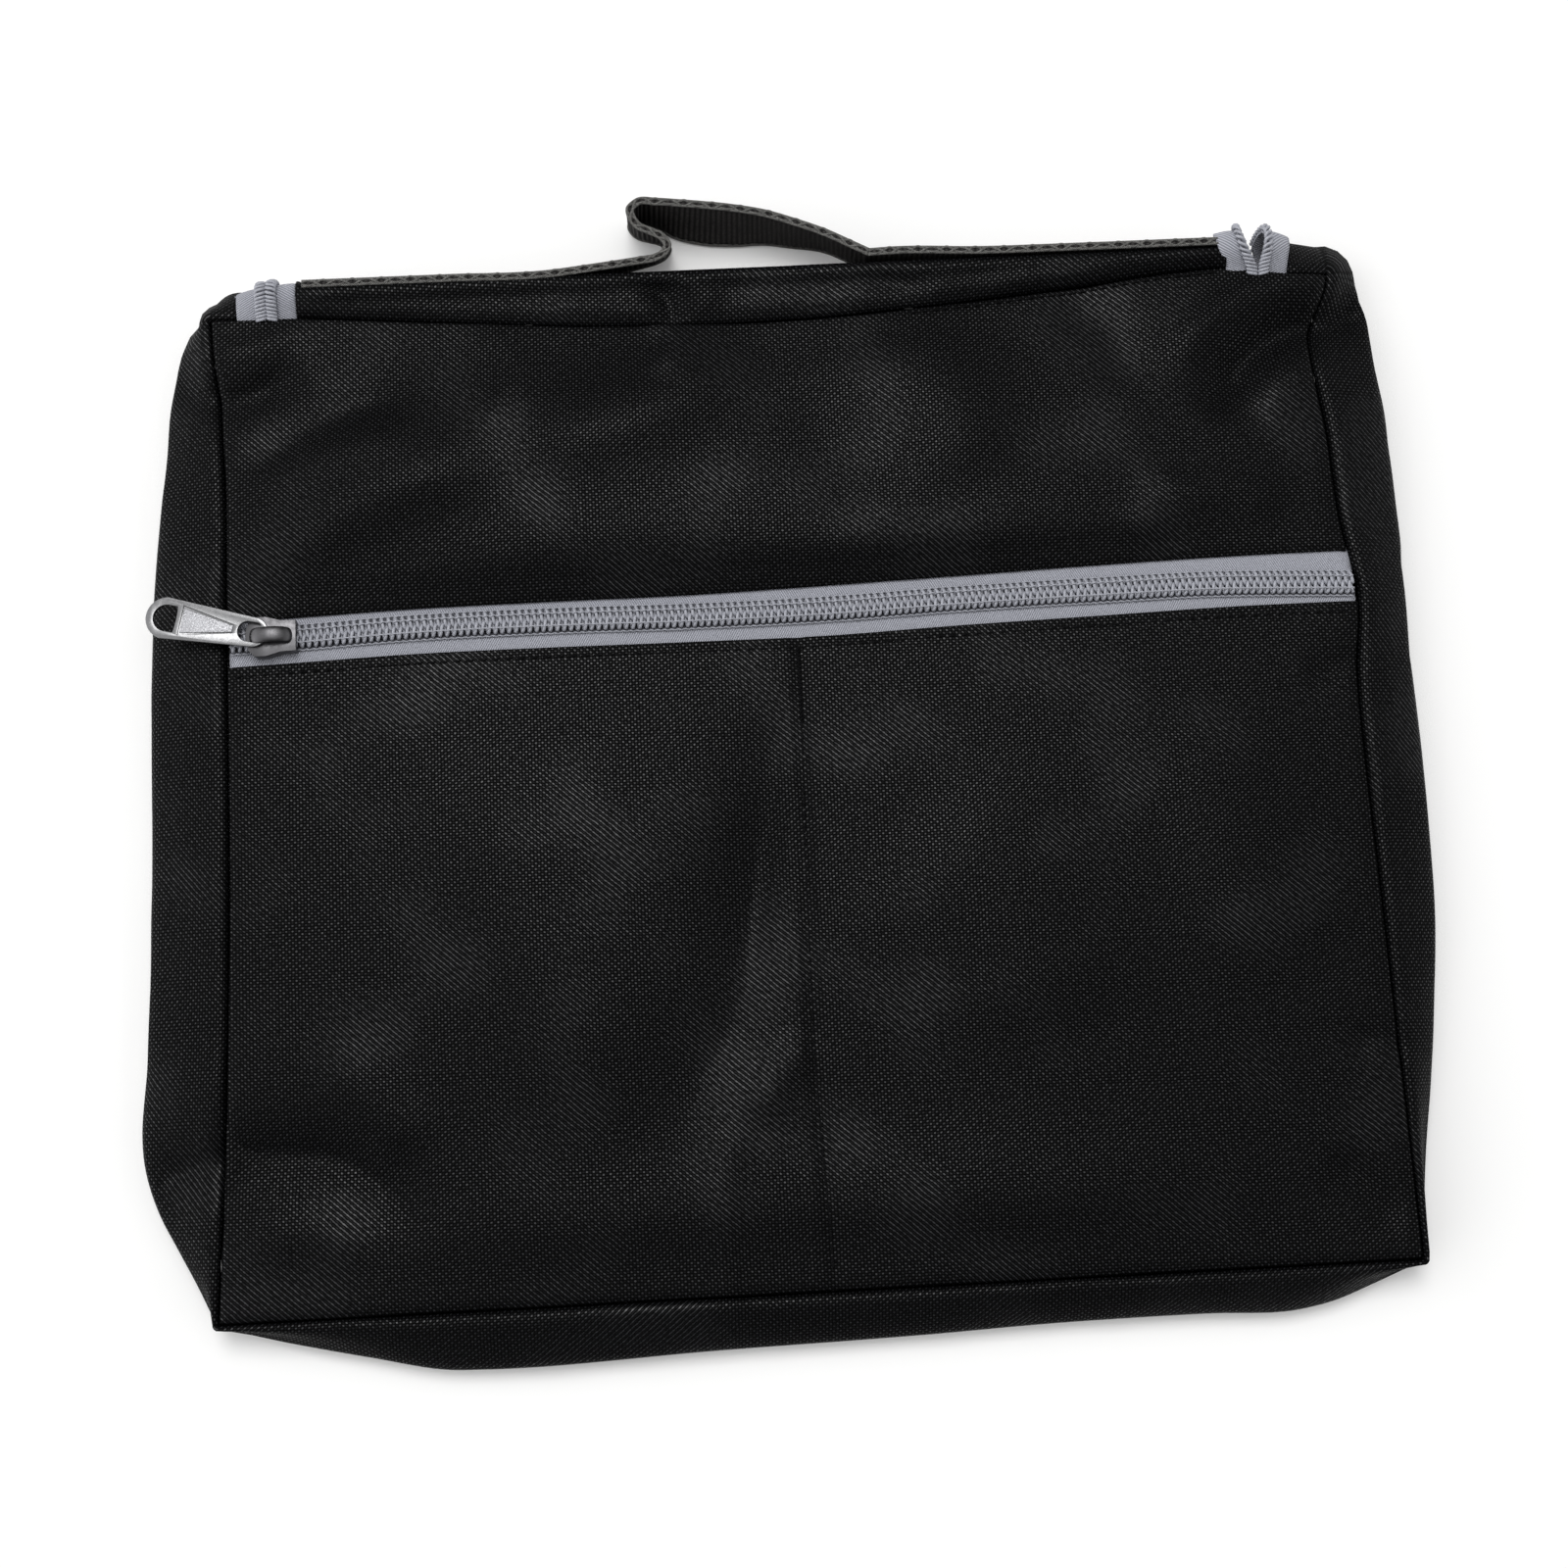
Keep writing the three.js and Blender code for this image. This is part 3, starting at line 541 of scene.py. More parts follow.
def crosswise_run(grid):
    return run_length(grid.transpose(1, 0, 2)).T


def along_line(line, run, at):
    return np.stack([np.interp(at, run, column) for column in line.T], -1)


def smooth_line(points, count):
    points = np.asarray(points, float)
    run = run_length(points)
    at = np.linspace(0, run[-1], count)
    return np.stack([through(list(zip(run, values)), at) for values in points.T], axis=1)


# %% [markdown]
# ## Folds in the cloth
#
# The front isn't flat: it has creases at its corners, a long soft fold across the upper
# panel and a valley beside the divider. Each fold is a line on the front with a height
# and a width on each side of it, so a crease can be steep on one side and soft on the
# other. A power near one gives a sharp crease, two gives a round fold. Adding all of them
# to the panels' height is quick and gives the same cloth on every run. A slow noise adds
# the small unevenness between them.

# %% Fold lines
# Each fold: its line, its height, its width to the left and to the right of the line
# when walked from start to end, whether its two ends fade out, and its power.
FRONT_FOLDS = [
    ([(-152, 110), (-143, 104), (-136, 101), (-128, 103), (-117, 111)], -2.8, 3.6, 7, (0, 1), 1.6),
    ([(-146, 119), (-136, 113), (-122, 116), (-110, 120)], 0.9, 4, 4, (1, 1), 2),
    ([(-132, 78), (-121, 88), (-112, 94), (-99, 98), (-86, 101)], -1.9, 7, 5, (1, 1), 1.7),
    ([(-136, 70), (-122, 80), (-106, 86), (-86, 89)], 1.1, 5.5, 5, (1, 1), 2),
    ([(-130, 55), (-110, 68), (-94, 77), (-70, 83), (-45, 86), (-25, 94), (2, 108)],
     2.4, 19, 21, (1, 1), 1.8),
    ([(-136, 50), (-118, 64), (-102, 73), (-84, 78), (-64, 79)], 2.6, 13, 9, (1, 1), 2),
    ([(-66, 80), (-46, 87), (-24, 96), (-4, 112)], 1.5, 13, 9, (1, 1), 2),
    ([(-125, 50), (-80, 58), (-40, 60), (20, 58), (70, 60), (128, 58)], 1.5, 13, 9, (1, 1), 1.8),
    ([(-75, 122), (-66, 104), (-72, 88)], 0.7, 6, 3, (1, 1), 1.5),
    ([(-34, 118), (-25, 112), (-31, 100)], 1.0, 5, 3, (1, 1), 1.4),
    ([(8, 102), (14, 84), (30, 66)], -1.2, 16, 14, (1, 1), 2),
    ([(24, 114), (42, 92), (46, 66)], 1.6, 13, 16, (1, 1), 2),
    ([(93, 61), (108, 66), (126, 60)], 1.2, 6, 6, (1, 1), 1.8),
    ([(84, 52), (92, 62), (98, 74)], 0.9, 6, 6, (1, 1), 2),
    ([(150, 114), (140, 110), (129, 108), (119, 102), (112, 93), (105, 83)],
     -4.6, 7.5, 5.4, (0, 1), 1.5),
    ([(146, 122), (128, 118), (108, 109), (98, 95)], 1.8, 6, 5.5, (1, 1), 2),
    ([(140, 98), (128, 94), (118, 84)], 0.9, 6, 6, (1, 1), 2),
    ([(68, 122), (86, 104), (84, 88)], -1.2, 7, 8, (1, 1), 2),
    ([(-1, 26), (-5, 8), (-9, -14), (-12.5, -36), (-16.5, -54)], -1.3, 4.5, 12, (1, 1), 1.3),
    ([(-6, 4), (-9, -14), (-12.5, -36), (-16.5, -54), (-24, -68), (-36, -80)],
     -1.9, 9, 13, (1, 1), 1.4),
    ([(-15, -76), (-21, -92), (-22.5, -108), (-22, -124)], 0.8, 5, 7, (1, 0), 1.3),
    ([(2, -62), (-10, -74), (-14, -84)], 1.0, 5, 5, (1, 1), 2),
    ([(-62, 12), (-66, -20), (-54, -60), (-38, -86)], 1.9, 22, 18, (1, 1), 2),
    ([(-150, -87), (-136, -84), (-122, -84), (-108, -87), (-99, -94), (-88, -106)],
     -3.6, 6.5, 9, (0, 1), 1.25),
    ([(-137, -103), (-118, -102), (-102, -110)], 1.2, 7, 7, (1, 1), 2),
    ([(-116, -60), (-104, -74), (-92, -88)], 1.2, 8, 6, (1, 1), 2),
    ([(-118, -104), (-60, -103), (0, -102), (70, -102), (132, -100)], 1.5, 13, 9, (1, 1), 1.9),
    ([(137, 22), (131, 19), (124, 20)], -1.0, 3, 4, (0, 1), 1.3),
    ([(140, -72), (133, -70), (126, -74)], -0.9, 3, 4, (0, 1), 1.3),
    ([(118, -96), (128, -104), (137, -116)], -1.2, 5, 5, (1, 1), 2),
    ([(24, -10), (48, -36), (60, -70)], 1.6, 20, 18, (1, 1), 2),
    ([(96, 14), (104, -20), (110, -60)], 1.0, 16, 14, (1, 1), 2),
]
print(len(FRONT_FOLDS), "folds on the front")


# %% Height of the folds
def fold_height(x, y, folds=FRONT_FOLDS):
    total = np.zeros_like(x)
    for line, height, width_left, width_right, fades, power in folds:
        line = smooth_line(line, 4 * len(line))
        run = run_length(line)
        nearest = np.full_like(x, np.inf)
        signed = np.zeros_like(x)
        along = np.zeros_like(x)
        for i in range(len(line) - 1):
            (x0, y0), (x1, y1) = line[i], line[i + 1]
            dx, dy = x1 - x0, y1 - y0
            t = ((x - x0) * dx + (y - y0) * dy) / (dx * dx + dy * dy)
            near = np.clip(t, 0, 1)
            away = np.hypot(x - x0 - near * dx, y - y0 - near * dy)
            closer = away < nearest
            side = np.sign(dx * (y - y0) - dy * (x - x0))
            signed = np.where(closer, side * away, signed)
            along = np.where(closer, (run[i] + near * (run[i + 1] - run[i])) / run[-1], along)
            nearest = np.minimum(nearest, away)
        width = np.where(signed > 0, width_left, width_right)
        fade_in = smooth_step(along, 0, 0.3) if fades[0] else 1
        fade_out = 1 - smooth_step(along, 0.7, 1) if fades[1] else 1
        total += height * np.exp(-(nearest / width) ** power) * fade_in * fade_out
    return total


def slow_noise(x, y, size, seed):
    flat = [noise.noise(Vector((a / size, b / size, seed))) for a, b in zip(x.ravel(), y.ravel())]
    return np.array(flat).reshape(x.shape)


# %% [markdown]
# ## The front
#
# The seams of the front are not straight: the left one bows in, the right one leans, and
# the top one dips behind the handle. At every seam the cloth turns down into a narrow
# groove, which is the dark line that outlines the front.


# %% Seam lines
LEFT_BOW = 3.5
BACK_BOW = 4
BACK_INSET = 0.8


def left_seam(y):
    return -HALF_WIDTH + LEFT_BOW * (1 - (y / HALF_HEIGHT) ** 2) + 1.4 * bell(y, 80, 28)


def right_lean(y):
    corner = 4.4 * smooth_step(y, 105, HALF_HEIGHT) - 1.9 * bell(y, 98, 13)
    return corner + 2.8 * bell(y, 38, 15)


def right_seam(y):
    return HALF_WIDTH - 2 * (y / HALF_HEIGHT + 1) + right_lean(y)


def from_sides(x, y):
    return np.minimum(x - left_seam(y), right_seam(y) - x)


def back_seam(y, side):
    return side * HALF_WIDTH - BACK_INSET - BACK_BOW * (1 - (y / HALF_HEIGHT) ** 2)


TOP_SEAM = [(-140, 121.9), (-133, 121.6), (-118, 121.4), (-85, 119), (-36, 115.6), (3, 115.4),
            (52, 118.6), (77, 121), (104, 124), (115, 124.4), (124, 122.8), (131, 121.5), (138, 121.3)]


def top_seam(x):
    return through(TOP_SEAM, x)


print("the left seam bows in", round(left_seam(0) + HALF_WIDTH, 2), "mm")


# %% Lines of the pocket zip
ZIP_DROP = 81.15


def pocket_zip(x):
    return HALF_HEIGHT - ZIP_DROP + x / HALF_WIDTH


UPPER_EDGE = [(-140, 4.6), (-120, 5.0), (-92, 5.6), (-58, 5.6), (-25, 5.4), (8, 5.9), (42, 6.6),
              (76, 7.4), (110, 7.9), (140, 7.9)]
POCKET_EDGE = [(-140, -6.7), (-120, -6.3), (-92, -5.7), (-58, -5.9), (-25, -6.4), (8, -6.7),
               (42, -5.9), (76, -5.4), (110, -4.9), (140, -5.1)]
CHAIN_BOW = [(-140, -0.2), (-125, -0.1), (-92, 0.9), (-58, 0.8), (-25, 0.1), (8, 0), (42, 0.8),
             (76, 1.1), (104, 1.1), (125, 0.2), (140, -0.6)]


def upper_edge(x):
    return pocket_zip(x) + through(UPPER_EDGE, x)


def pocket_edge(x):
    return pocket_zip(x) + through(POCKET_EDGE, x)


def chain_line(x):
    return pocket_zip(x) + through(CHAIN_BOW, x)


print("pocket zip", round(HALF_HEIGHT - pocket_zip(0), 2), "mm below the top seam's line")


# %% Panel grids
GRAIN = 1.5
GROOVE_WIDTH = 0.85
SEAM_ROWS = (0.4, 0.85)


def seam_groove(distance, depth=1.1):
    return -depth * np.exp(-np.maximum(distance, 0) / GROOVE_WIDTH)


def with_edges(length):
    shares = steps(0, 1, GRAIN / length)
    edge = np.array(SEAM_ROWS) / length
    return np.sort(np.concatenate([shares, edge, 1 - edge]))


def panel_grid(lower, upper):
    tall = float(upper(np.array([0.0]))[0] - lower(np.array([0.0]))[0])
    rows, columns = with_edges(tall), with_edges(2 * HALF_WIDTH)
    share_x, share_y = np.meshgrid(columns, rows)
    x = -HALF_WIDTH + share_x * 2 * HALF_WIDTH
    for _ in range(3):
        y = lower(x) + share_y * (upper(x) - lower(x))
        x = left_seam(y) + GAP + share_x * (right_seam(y) - left_seam(y) - 2 * GAP)
    return x, y, share_x, share_y


def front_relief(x, y):
    return fold_height(x, y) + 0.2 * slow_noise(x, y, 30, 3.1) + 0.04 * slow_noise(x, y, 9, 7.7)


def puff(share_x, share_y, rise):
    return rise * np.sin(math.pi * share_x) * np.sin(math.pi * share_y)


# %% Upper panel
UPPER_PUFF = 1.6
ROLL_HEIGHT = 1.5
ROLL_WIDTH = 8
EDGE_GROOVE = 0.3
x, y, share_x, share_y = panel_grid(upper_edge, lambda x: top_seam(x) - GAP)
above_zip = y - upper_edge(x)
roll = ROLL_HEIGHT * (1 - np.exp(-above_zip / ROLL_WIDTH)) * (1 - smooth_step(share_y, 0.6, 1))
z = DEPTH + puff(share_x, share_y, UPPER_PUFF) + roll * np.sin(math.pi * share_x) ** 0.5
z += front_relief(x, y) * smooth_step(above_zip, -0.5, 9)
at_zips = smooth_step(np.abs(x + 2), 112, 117)
top_groove = 0.25 + 0.3 * smooth_step(x, 10, 60)
z += seam_groove(from_sides(x, y))
z += seam_groove(top_seam(x) - y, top_groove) * (1 - 0.9 * at_zips)
z -= EDGE_GROOVE * bell(above_zip, 0, 1.2)
upper_cloth = height_cloth("front_upper_cloth", x, y, z, "pouch")
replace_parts(upper_cloth, "front_upper_panel")

# %% [markdown]
# The pocket's cloth is sewn down along its sides, its bottom and the divider. Two rows of
# topstitching press small channels into it: one below its zipped edge, one on the divider.

# %% Pocket cloth
EDGE_STITCH_DROP = 2.4
POCKET_PUFF = 2.0
BOTTOM_GROOVE = 1.0
DIVIDER_GROOVE = 0.7
DIVIDER = [(-122, 0.2), (-104, -0.2), (-93, -0.7), (-82, -1.1), (-70, -1.4), (-35, -1.2), (-12, -0.9),
           (0, -0.5), (18, -0.1), (35, -0.3)]


def divider_line(y):
    return DIVIDER_X + through(DIVIDER, y)


def pocket_height(x, y):
    across = np.where(
        x < divider_line(y),
        (x - left_seam(y)) / (divider_line(y) - left_seam(y)),
        (right_seam(y) - x) / (right_seam(y) - divider_line(y)))
    up_share = (y + HALF_HEIGHT) / (pocket_edge(x) + HALF_HEIGHT)
    height = DEPTH + puff(np.clip(across, 0, 1), np.clip(up_share, 0, 1), POCKET_PUFF)
    height += front_relief(x, y) * smooth_step(pocket_edge(x) - y, 0, 10)
    height += seam_groove(from_sides(x, y)) + seam_groove(y + HALF_HEIGHT, BOTTOM_GROOVE)
    height -= DIVIDER_GROOVE * bell(x, divider_line(y), 1.1)
    height -= EDGE_GROOVE * bell(pocket_edge(x) - EDGE_STITCH_DROP, y, 0.8)
    return height


def bottom_edge(x):
    return np.full_like(x, -HALF_HEIGHT + GAP)


x, y, share_x, share_y = panel_grid(bottom_edge, pocket_edge)
pocket_cloth = height_cloth("pocket_cloth", x, y, pocket_height(x, y), "pouch")
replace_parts(pocket_cloth, "pocket_panel")

# %% [markdown]
# ## The folded side strip
#
# One strip runs from zip end to zip end round the sides and the bottom, and a crease
# along its middle lets the pouch lie flat. Its outline was read from the photograph, side
# by side: wide in the middle of each side, tucked in at the two lower corners.

# %% Reach of the side strip
CREASE_HEIGHT = 5.5
STRIP_START = -133.4
STRIP_STOP = 130.4
LEFT_REACH = [(-HALF_HEIGHT, 1.9), (-113, 6.5), (-105, 11.2), (-97, 15.9), (-88, 19.4), (-60, 20.3),
              (-18, 19.8), (30, 19.7), (45, 19.4), (56, 19), (67, 18.3), (78, 17.2), (90, 15.2),
              (100, 13.4), (108, 11.4), (114, 9.8), (HALF_HEIGHT, 6)]
BOTTOM_REACH = [(-140, 1.5), (-131, 3.6), (-123, 5.6), (-105, 9.8), (-87, 13.6), (-80, 13.9),
                (-24, 12.5), (20, 11.6), (58, 10.4), (90, 10.2), (112, 10.4), (120, 8.8),
                (130, 5.2), (140, 1.5)]
RIGHT_REACH = [(-HALF_HEIGHT, 2), (-112, 3.2), (-100, 4.7), (-80, 8.6), (-57, 12.4), (-45, 14),
               (-9, 15.8), (20, 16), (56, 16.9), (79, 17), (98, 15.9), (110, 15.3), (HALF_HEIGHT, 13)]
LEFT_HOOD = [(-140, 6.6), (-137.5, 8.9), (-135, 10), (-133.4, 10.1)]
RIGHT_HOOD = [(130, 12.2), (140, 10.2)]
LOW_CORNER_REACH = 1.5
STATION_STEP = 1.8
SECTION_POINTS = 22
ZIP_LEFT = 128
ZIP_RIGHT = 124


# %% Stations of the side strip
# A station is a place on the front seam, the direction out of it, how far the strip reaches
# that way, and the place where it is sewn to the back.
def hood(start, stop, reaches):
    return [(x, top_seam(np.array(x)), 0, 1, through(reaches, x), x, HALF_HEIGHT)
            for x in steps(start, stop, 1.0)]


def strip_corner(x, y, side, degrees, reach, rise=0.0, power=1):
    return [(x, y, math.cos(turn), math.sin(turn), reach + rise * math.sin(turn) ** power,
             back_seam(HALF_HEIGHT, side), y) for turn in np.radians(degrees)]


def strip_stations():
    inner_y = HALF_HEIGHT - 1.5
    inner_x = HALF_WIDTH - 1.5
    corner_x = right_seam(HALF_HEIGHT)
    stations = hood(STRIP_START, -HALF_WIDTH + 0.5, LEFT_HOOD)
    stations += strip_corner(-HALF_WIDTH, HALF_HEIGHT, -1, [100, 122, 145, 165], 4.4, 2.1, 3)
    for y in steps(inner_y, -inner_y, STATION_STEP):
        stations.append((left_seam(y), y, -1, 0, through(LEFT_REACH, y), back_seam(y, -1), y))
    stations += strip_corner(-HALF_WIDTH, -HALF_HEIGHT, -1, [200, 225, 250], LOW_CORNER_REACH)
    for x in steps(-inner_x, inner_x, STATION_STEP):
        stations.append((x, -HALF_HEIGHT, 0, -1, through(BOTTOM_REACH, x), x - BACK_INSET, -HALF_HEIGHT))
    stations += strip_corner(HALF_WIDTH, -HALF_HEIGHT, 1, [290, 315, 340], LOW_CORNER_REACH)
    for y in steps(-inner_y, inner_y, STATION_STEP):
        reach = through(RIGHT_REACH, y) - right_lean(y)
        stations.append((right_seam(y), y, 1, 0, reach, back_seam(y, 1), y))
    stations += strip_corner(corner_x, HALF_HEIGHT, 1, [15, 35, 55, 75], 8.6, 1.6)
    return stations + hood(corner_x - 0.5, STRIP_STOP, RIGHT_HOOD)


# %% Section of the side strip
def strip_section(station):
    x, y, out_x, out_y, reach, back_x, back_y = station
    back_out = (back_x - x) * out_x + (back_y - y) * out_y + GAP
    slip_x = back_x - x - (back_out - GAP) * out_x
    slip_y = back_y - y - (back_out - GAP) * out_y
    tip = max(reach - 0.6, GAP + 0.7)
    face = smooth_line([
        (GAP, DEPTH - 1.5), (GAP + 0.7, DEPTH - 0.95), (0.1 * tip + 1.2, DEPTH - 0.7),
        (0.35 * tip + 1.1, DEPTH - 1.6),
        (0.75 * tip, 8.6), (tip, CREASE_HEIGHT + 0.8), (max(reach, tip + 0.2), CREASE_HEIGHT),
        (tip, CREASE_HEIGHT - 0.9), (0.5 * tip + 0.5 * back_out, 1.1), (back_out, 0)],
        SECTION_POINTS)
    slipped = 1 - face[:, 1] / DEPTH
    return np.stack([
        x + face[:, 0] * out_x + slipped * slip_x,
        y + face[:, 0] * out_y + slipped * slip_y,
        face[:, 1]], axis=-1)


# %% Side strip cloth
grid = np.array([strip_section(station) for station in strip_stations()])
lengthwise = np.repeat(run_length(grid[:, 0])[:, None], grid.shape[1], 1)
crosswise = crosswise_run(grid)
top_share = smooth_step(grid[..., 2], CREASE_HEIGHT - 1, 10)
rough = slow_noise(lengthwise, crosswise, 11, 5.5) * smooth_step(crosswise, 0, 3)
grid[..., 2] += 0.35 * rough * smooth_step(grid[..., 2], 2, 6)
grid[..., 2] += front_relief(grid[..., 0], grid[..., 1]) * top_share
grid[..., 2] = np.maximum(grid[..., 2], CLOTH)
side_cloth = cloth_piece(
    "side_strip_cloth", grid, np.stack([lengthwise, crosswise], -1), "pouch")
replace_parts(side_cloth, "gusset_band")

# %% [markdown]
# ## The back
#
# The back zip runs in a shallow channel near the edge: up over the top edge at the left,
# down the back, along the bottom and up again at the right. One route, given by a place,
# a sideways and an outward direction, carries the tapes, the coils and the cloth beside
# them, so that they stay together round the corners.

# %% Fold over the top edge
BAND_HALF = 7
CHANNEL_LEFT = 6.25
CHANNEL_RIGHT = 3
ZIP_RADIUS = 30
FOLD_POINTS = 40
CORNER_POINTS = 25
DOWN = np.array([0, 0, -1])
ZIP_BOTTOM = -HALF_HEIGHT + 17
TAPE_FACE = DEPTH - CLOTH - GAP
LEFT_CENTRE = np.array([-ZIP_LEFT + ZIP_RADIUS, ZIP_BOTTOM + ZIP_RADIUS])
RIGHT_CENTRE = np.array([ZIP_RIGHT - ZIP_RADIUS, ZIP_BOTTOM + ZIP_RADIUS])


def fold_line(channel, bulge=0.0):
    return np.array([
        (GAP, TAPE_FACE), (3.6, 12.5), (6.4 + bulge * 0.6, 12.8 + bulge * 0.2),
        (8 + bulge, 11.9), (8.5 + bulge, 10.4), (8.3 + bulge * 0.6, channel + 1.9),
        (7.5, channel + 0.5), (5.9, channel), (-0.5, channel)])


LEFT_FRONT_SHIFT = 2.3
RIGHT_FRONT_SHIFT = -1.3
RIGHT_BULGE = 1.2
TAPE_START = [(-3.2, TAPE_FACE - 1), (-1.2, TAPE_FACE - 0.5)]


def fold_stations(x, side, channel, shift, bulge=0.0):
    line = smooth_line(np.vstack([TAPE_START, fold_line(channel, bulge)]), FOLD_POINTS)
    ahead = unit(np.gradient(line, axis=0))
    front = smooth_step(line[:, 1], channel + 0.4, channel + 3.2)
    front = np.maximum(front, line[:, 0] < 4) * (line[:, 1] > channel + 0.9)
    return [(np.array([x + shift * share, HALF_HEIGHT + a, b]), np.array([side, 0, 0]),
             np.array([0, -tz, ty]))
            for (a, b), (ty, tz), share in zip(line, ahead, front)]


# %% Corners and straight runs
def corner_stations(centre, start, stop, height_start, height_stop):
    stations = []
    for share in np.linspace(0, 1, CORNER_POINTS):
        turn = start + (stop - start) * share
        side = np.array([math.cos(turn), math.sin(turn), 0])
        height = height_start + (height_stop - height_start) * smooth_step(share, 0, 1)
        place = np.array([*centre, 0]) + ZIP_RADIUS * side + np.array([0, 0, height])
        stations.append((place, side, DOWN))
    return stations


def straight_stations(x, side, y_from, y_to, height):
    return [(np.array([x, y, height]), np.array([side, 0, 0]), DOWN)
            for y in steps(y_from, y_to, 6)]


# %% Route of the back zip
route = fold_stations(-ZIP_LEFT, -1, CHANNEL_LEFT, LEFT_FRONT_SHIFT)
route += straight_stations(-ZIP_LEFT, -1, HALF_HEIGHT - 7, LEFT_CENTRE[1] + 5, CHANNEL_LEFT)
route += corner_stations(LEFT_CENTRE, -math.pi, -math.pi / 2, CHANNEL_LEFT, CHANNEL_RIGHT)
route += corner_stations(RIGHT_CENTRE, -math.pi / 2, 0, CHANNEL_RIGHT, CHANNEL_RIGHT)
route += straight_stations(ZIP_RIGHT, 1, RIGHT_CENTRE[1] + 5, HALF_HEIGHT - 7, CHANNEL_RIGHT)
route += fold_stations(ZIP_RIGHT, 1, CHANNEL_RIGHT, RIGHT_FRONT_SHIFT, RIGHT_BULGE)[::-1]
route_place, route_side, route_out = (np.array(part) for part in zip(*route))
route_run = run_length(route_place)
ROUTE_END = route_run[-1]
print("back zip", round(ROUTE_END), "mm long")


def on_route(at):
    place, side, out = (
        along_line(line, route_run, at) for line in (route_place, route_side, route_out))
    return place, unit(side), unit(out)


# %% [markdown]
# ## Zip tapes
#
# A tape half is a narrow strip of ribbed weave. The pocket's two halves lie flat between
# the front panels. The back zip is undone, so at the right end its two coils part over the
# top edge, as the photograph shows. Its inner half swings with the flap. The short ends on
# the front are pieces of their own.


# %% Ends of the tapes
TAPE_THICK = 0.6
TAPE_INSET = 0.4
TAPE_CROWN = 0.35
CHAIN_GAP = 0.5
TAPE_HALF = 12
TAPE_COLUMNS = 9
ZIP_END_LEVEL = 40
END_RUN = 19
OUTER_OPENING = 0.7
INNER_OPENING = 0.9
FOLD_TOP = 12.5


def at_fold(distance):
    return bell(distance, FOLD_TOP, 4.6) * smooth_step(distance, 3.5, 7)


def parted(at, side):
    opening = INNER_OPENING if side < 0 else OUTER_OPENING
    return opening * bell(ROUTE_END - at, FOLD_TOP, 3.0)


def curl(at, side, share):
    left, right = at_fold(at), at_fold(ROUTE_END - at)
    if side < 0:
        slide = -3.0 * right
        lift = 0.9 * share * left + (2.9 - 0.6 * share) * right
    else:
        slide = 0.9 * right
        lift = -1.3 * share * left + (2.8 - 1.9 * share) * right
    return slide, lift


def bend_at_hinge(piece):
    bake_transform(piece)


def on_fold(place):
    return smooth_step(place[..., 1], HALF_HEIGHT - 5, HALF_HEIGHT - 3)


# %% Tapes of the back zip
def back_tape(name, side, body, start, stop):
    at = steps(start, stop, 1.2)
    place, sideways, outward = on_route(at)
    near = CHAIN_GAP + parted(at, side)
    far = BAND_HALF + 2.5 if side > 0 else TAPE_HALF
    far = far + (BAND_HALF + 0.6 - far) * on_fold(place)
    shares = np.linspace(0, 1, TAPE_COLUMNS)
    span = near[:, None] + shares * (far - near)[:, None]
    slide, lift = curl(at[:, None], side, shares)
    lift = lift + TAPE_CROWN * np.sin(math.pi * shares) * on_fold(place)[:, None]
    across = sideways[:, None] * (side * span + slide)[..., None]
    grid = place[:, None] + across + outward[:, None] * lift[..., None]
    past_shade = span + COIL_SHADE[1] * on_fold(place)[:, None]
    pattern = np.stack([np.repeat(at[:, None], TAPE_COLUMNS, 1), past_shade], -1)
    return cloth_piece(name, grid, pattern, body, tape_finish, TAPE_THICK, side > 0)


back_tape_outer = back_tape("back_zip_tape_outer", 1, "pouch", TAPE_INSET, ROUTE_END - TAPE_INSET)
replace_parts(back_tape_outer, "main_zip_tape_outer")
back_tape_inner = back_tape("back_zip_tape_inner", -1, "lid", END_RUN, ROUTE_END - END_RUN)
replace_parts(back_tape_inner, "main_zip_tape_inner")
bend_at_hinge(back_tape("back_zip_tape_inner_left", -1, None, TAPE_INSET, END_RUN))
bend_at_hinge(back_tape(
    "back_zip_tape_inner_right", -1, None, ROUTE_END - END_RUN, ROUTE_END - TAPE_INSET))


# %% Tapes of the pocket zip
def pocket_tape(name, side, node):
    x = steps(left_seam(ZIP_END_LEVEL) + 0.7, right_seam(ZIP_END_LEVEL) - 0.4, 1.5)
    span = np.linspace(CHAIN_GAP, TAPE_HALF, 12)
    grid_x, grid_span = np.meshgrid(x, span)
    waves = 0.12 * slow_noise(grid_x, grid_span, 7, 9.0) - 1.3 * smooth_step(grid_span, 8.3, 10.5)
    grid_y = chain_line(grid_x) + side * grid_span
    height = TAPE_FACE - 0.1 + waves + seam_groove(from_sides(grid_x, grid_y))
    grid = np.stack([grid_x, grid_y, height], -1)
    pattern = np.stack([grid_x, grid_span], -1)
    piece = cloth_piece(name, grid, pattern, "pouch", tape_finish, 0.5, side < 0)
    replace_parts(piece, node)


pocket_tape("pocket_tape_upper", 1, "pocket_zip_tape_upper")
pocket_tape("pocket_tape_lower", -1, "pocket_zip_tape_lower")

# %% [markdown]
# ## Coils
#
# A coil zip has no single teeth: each side is one nylon wire wound into flattened loops
# and sewn to its tape. Each row here is a real winding round the same route. In the
# pocket's closed chain the loops reach past the middle, half a pitch apart, so that the
# two rows mesh. A sewing thread runs along each row and dips between the loops. Over the
# top edge the loops of the back zip crowd together, so a second winding lies half a turn
# behind the first there, and it hides the thread.

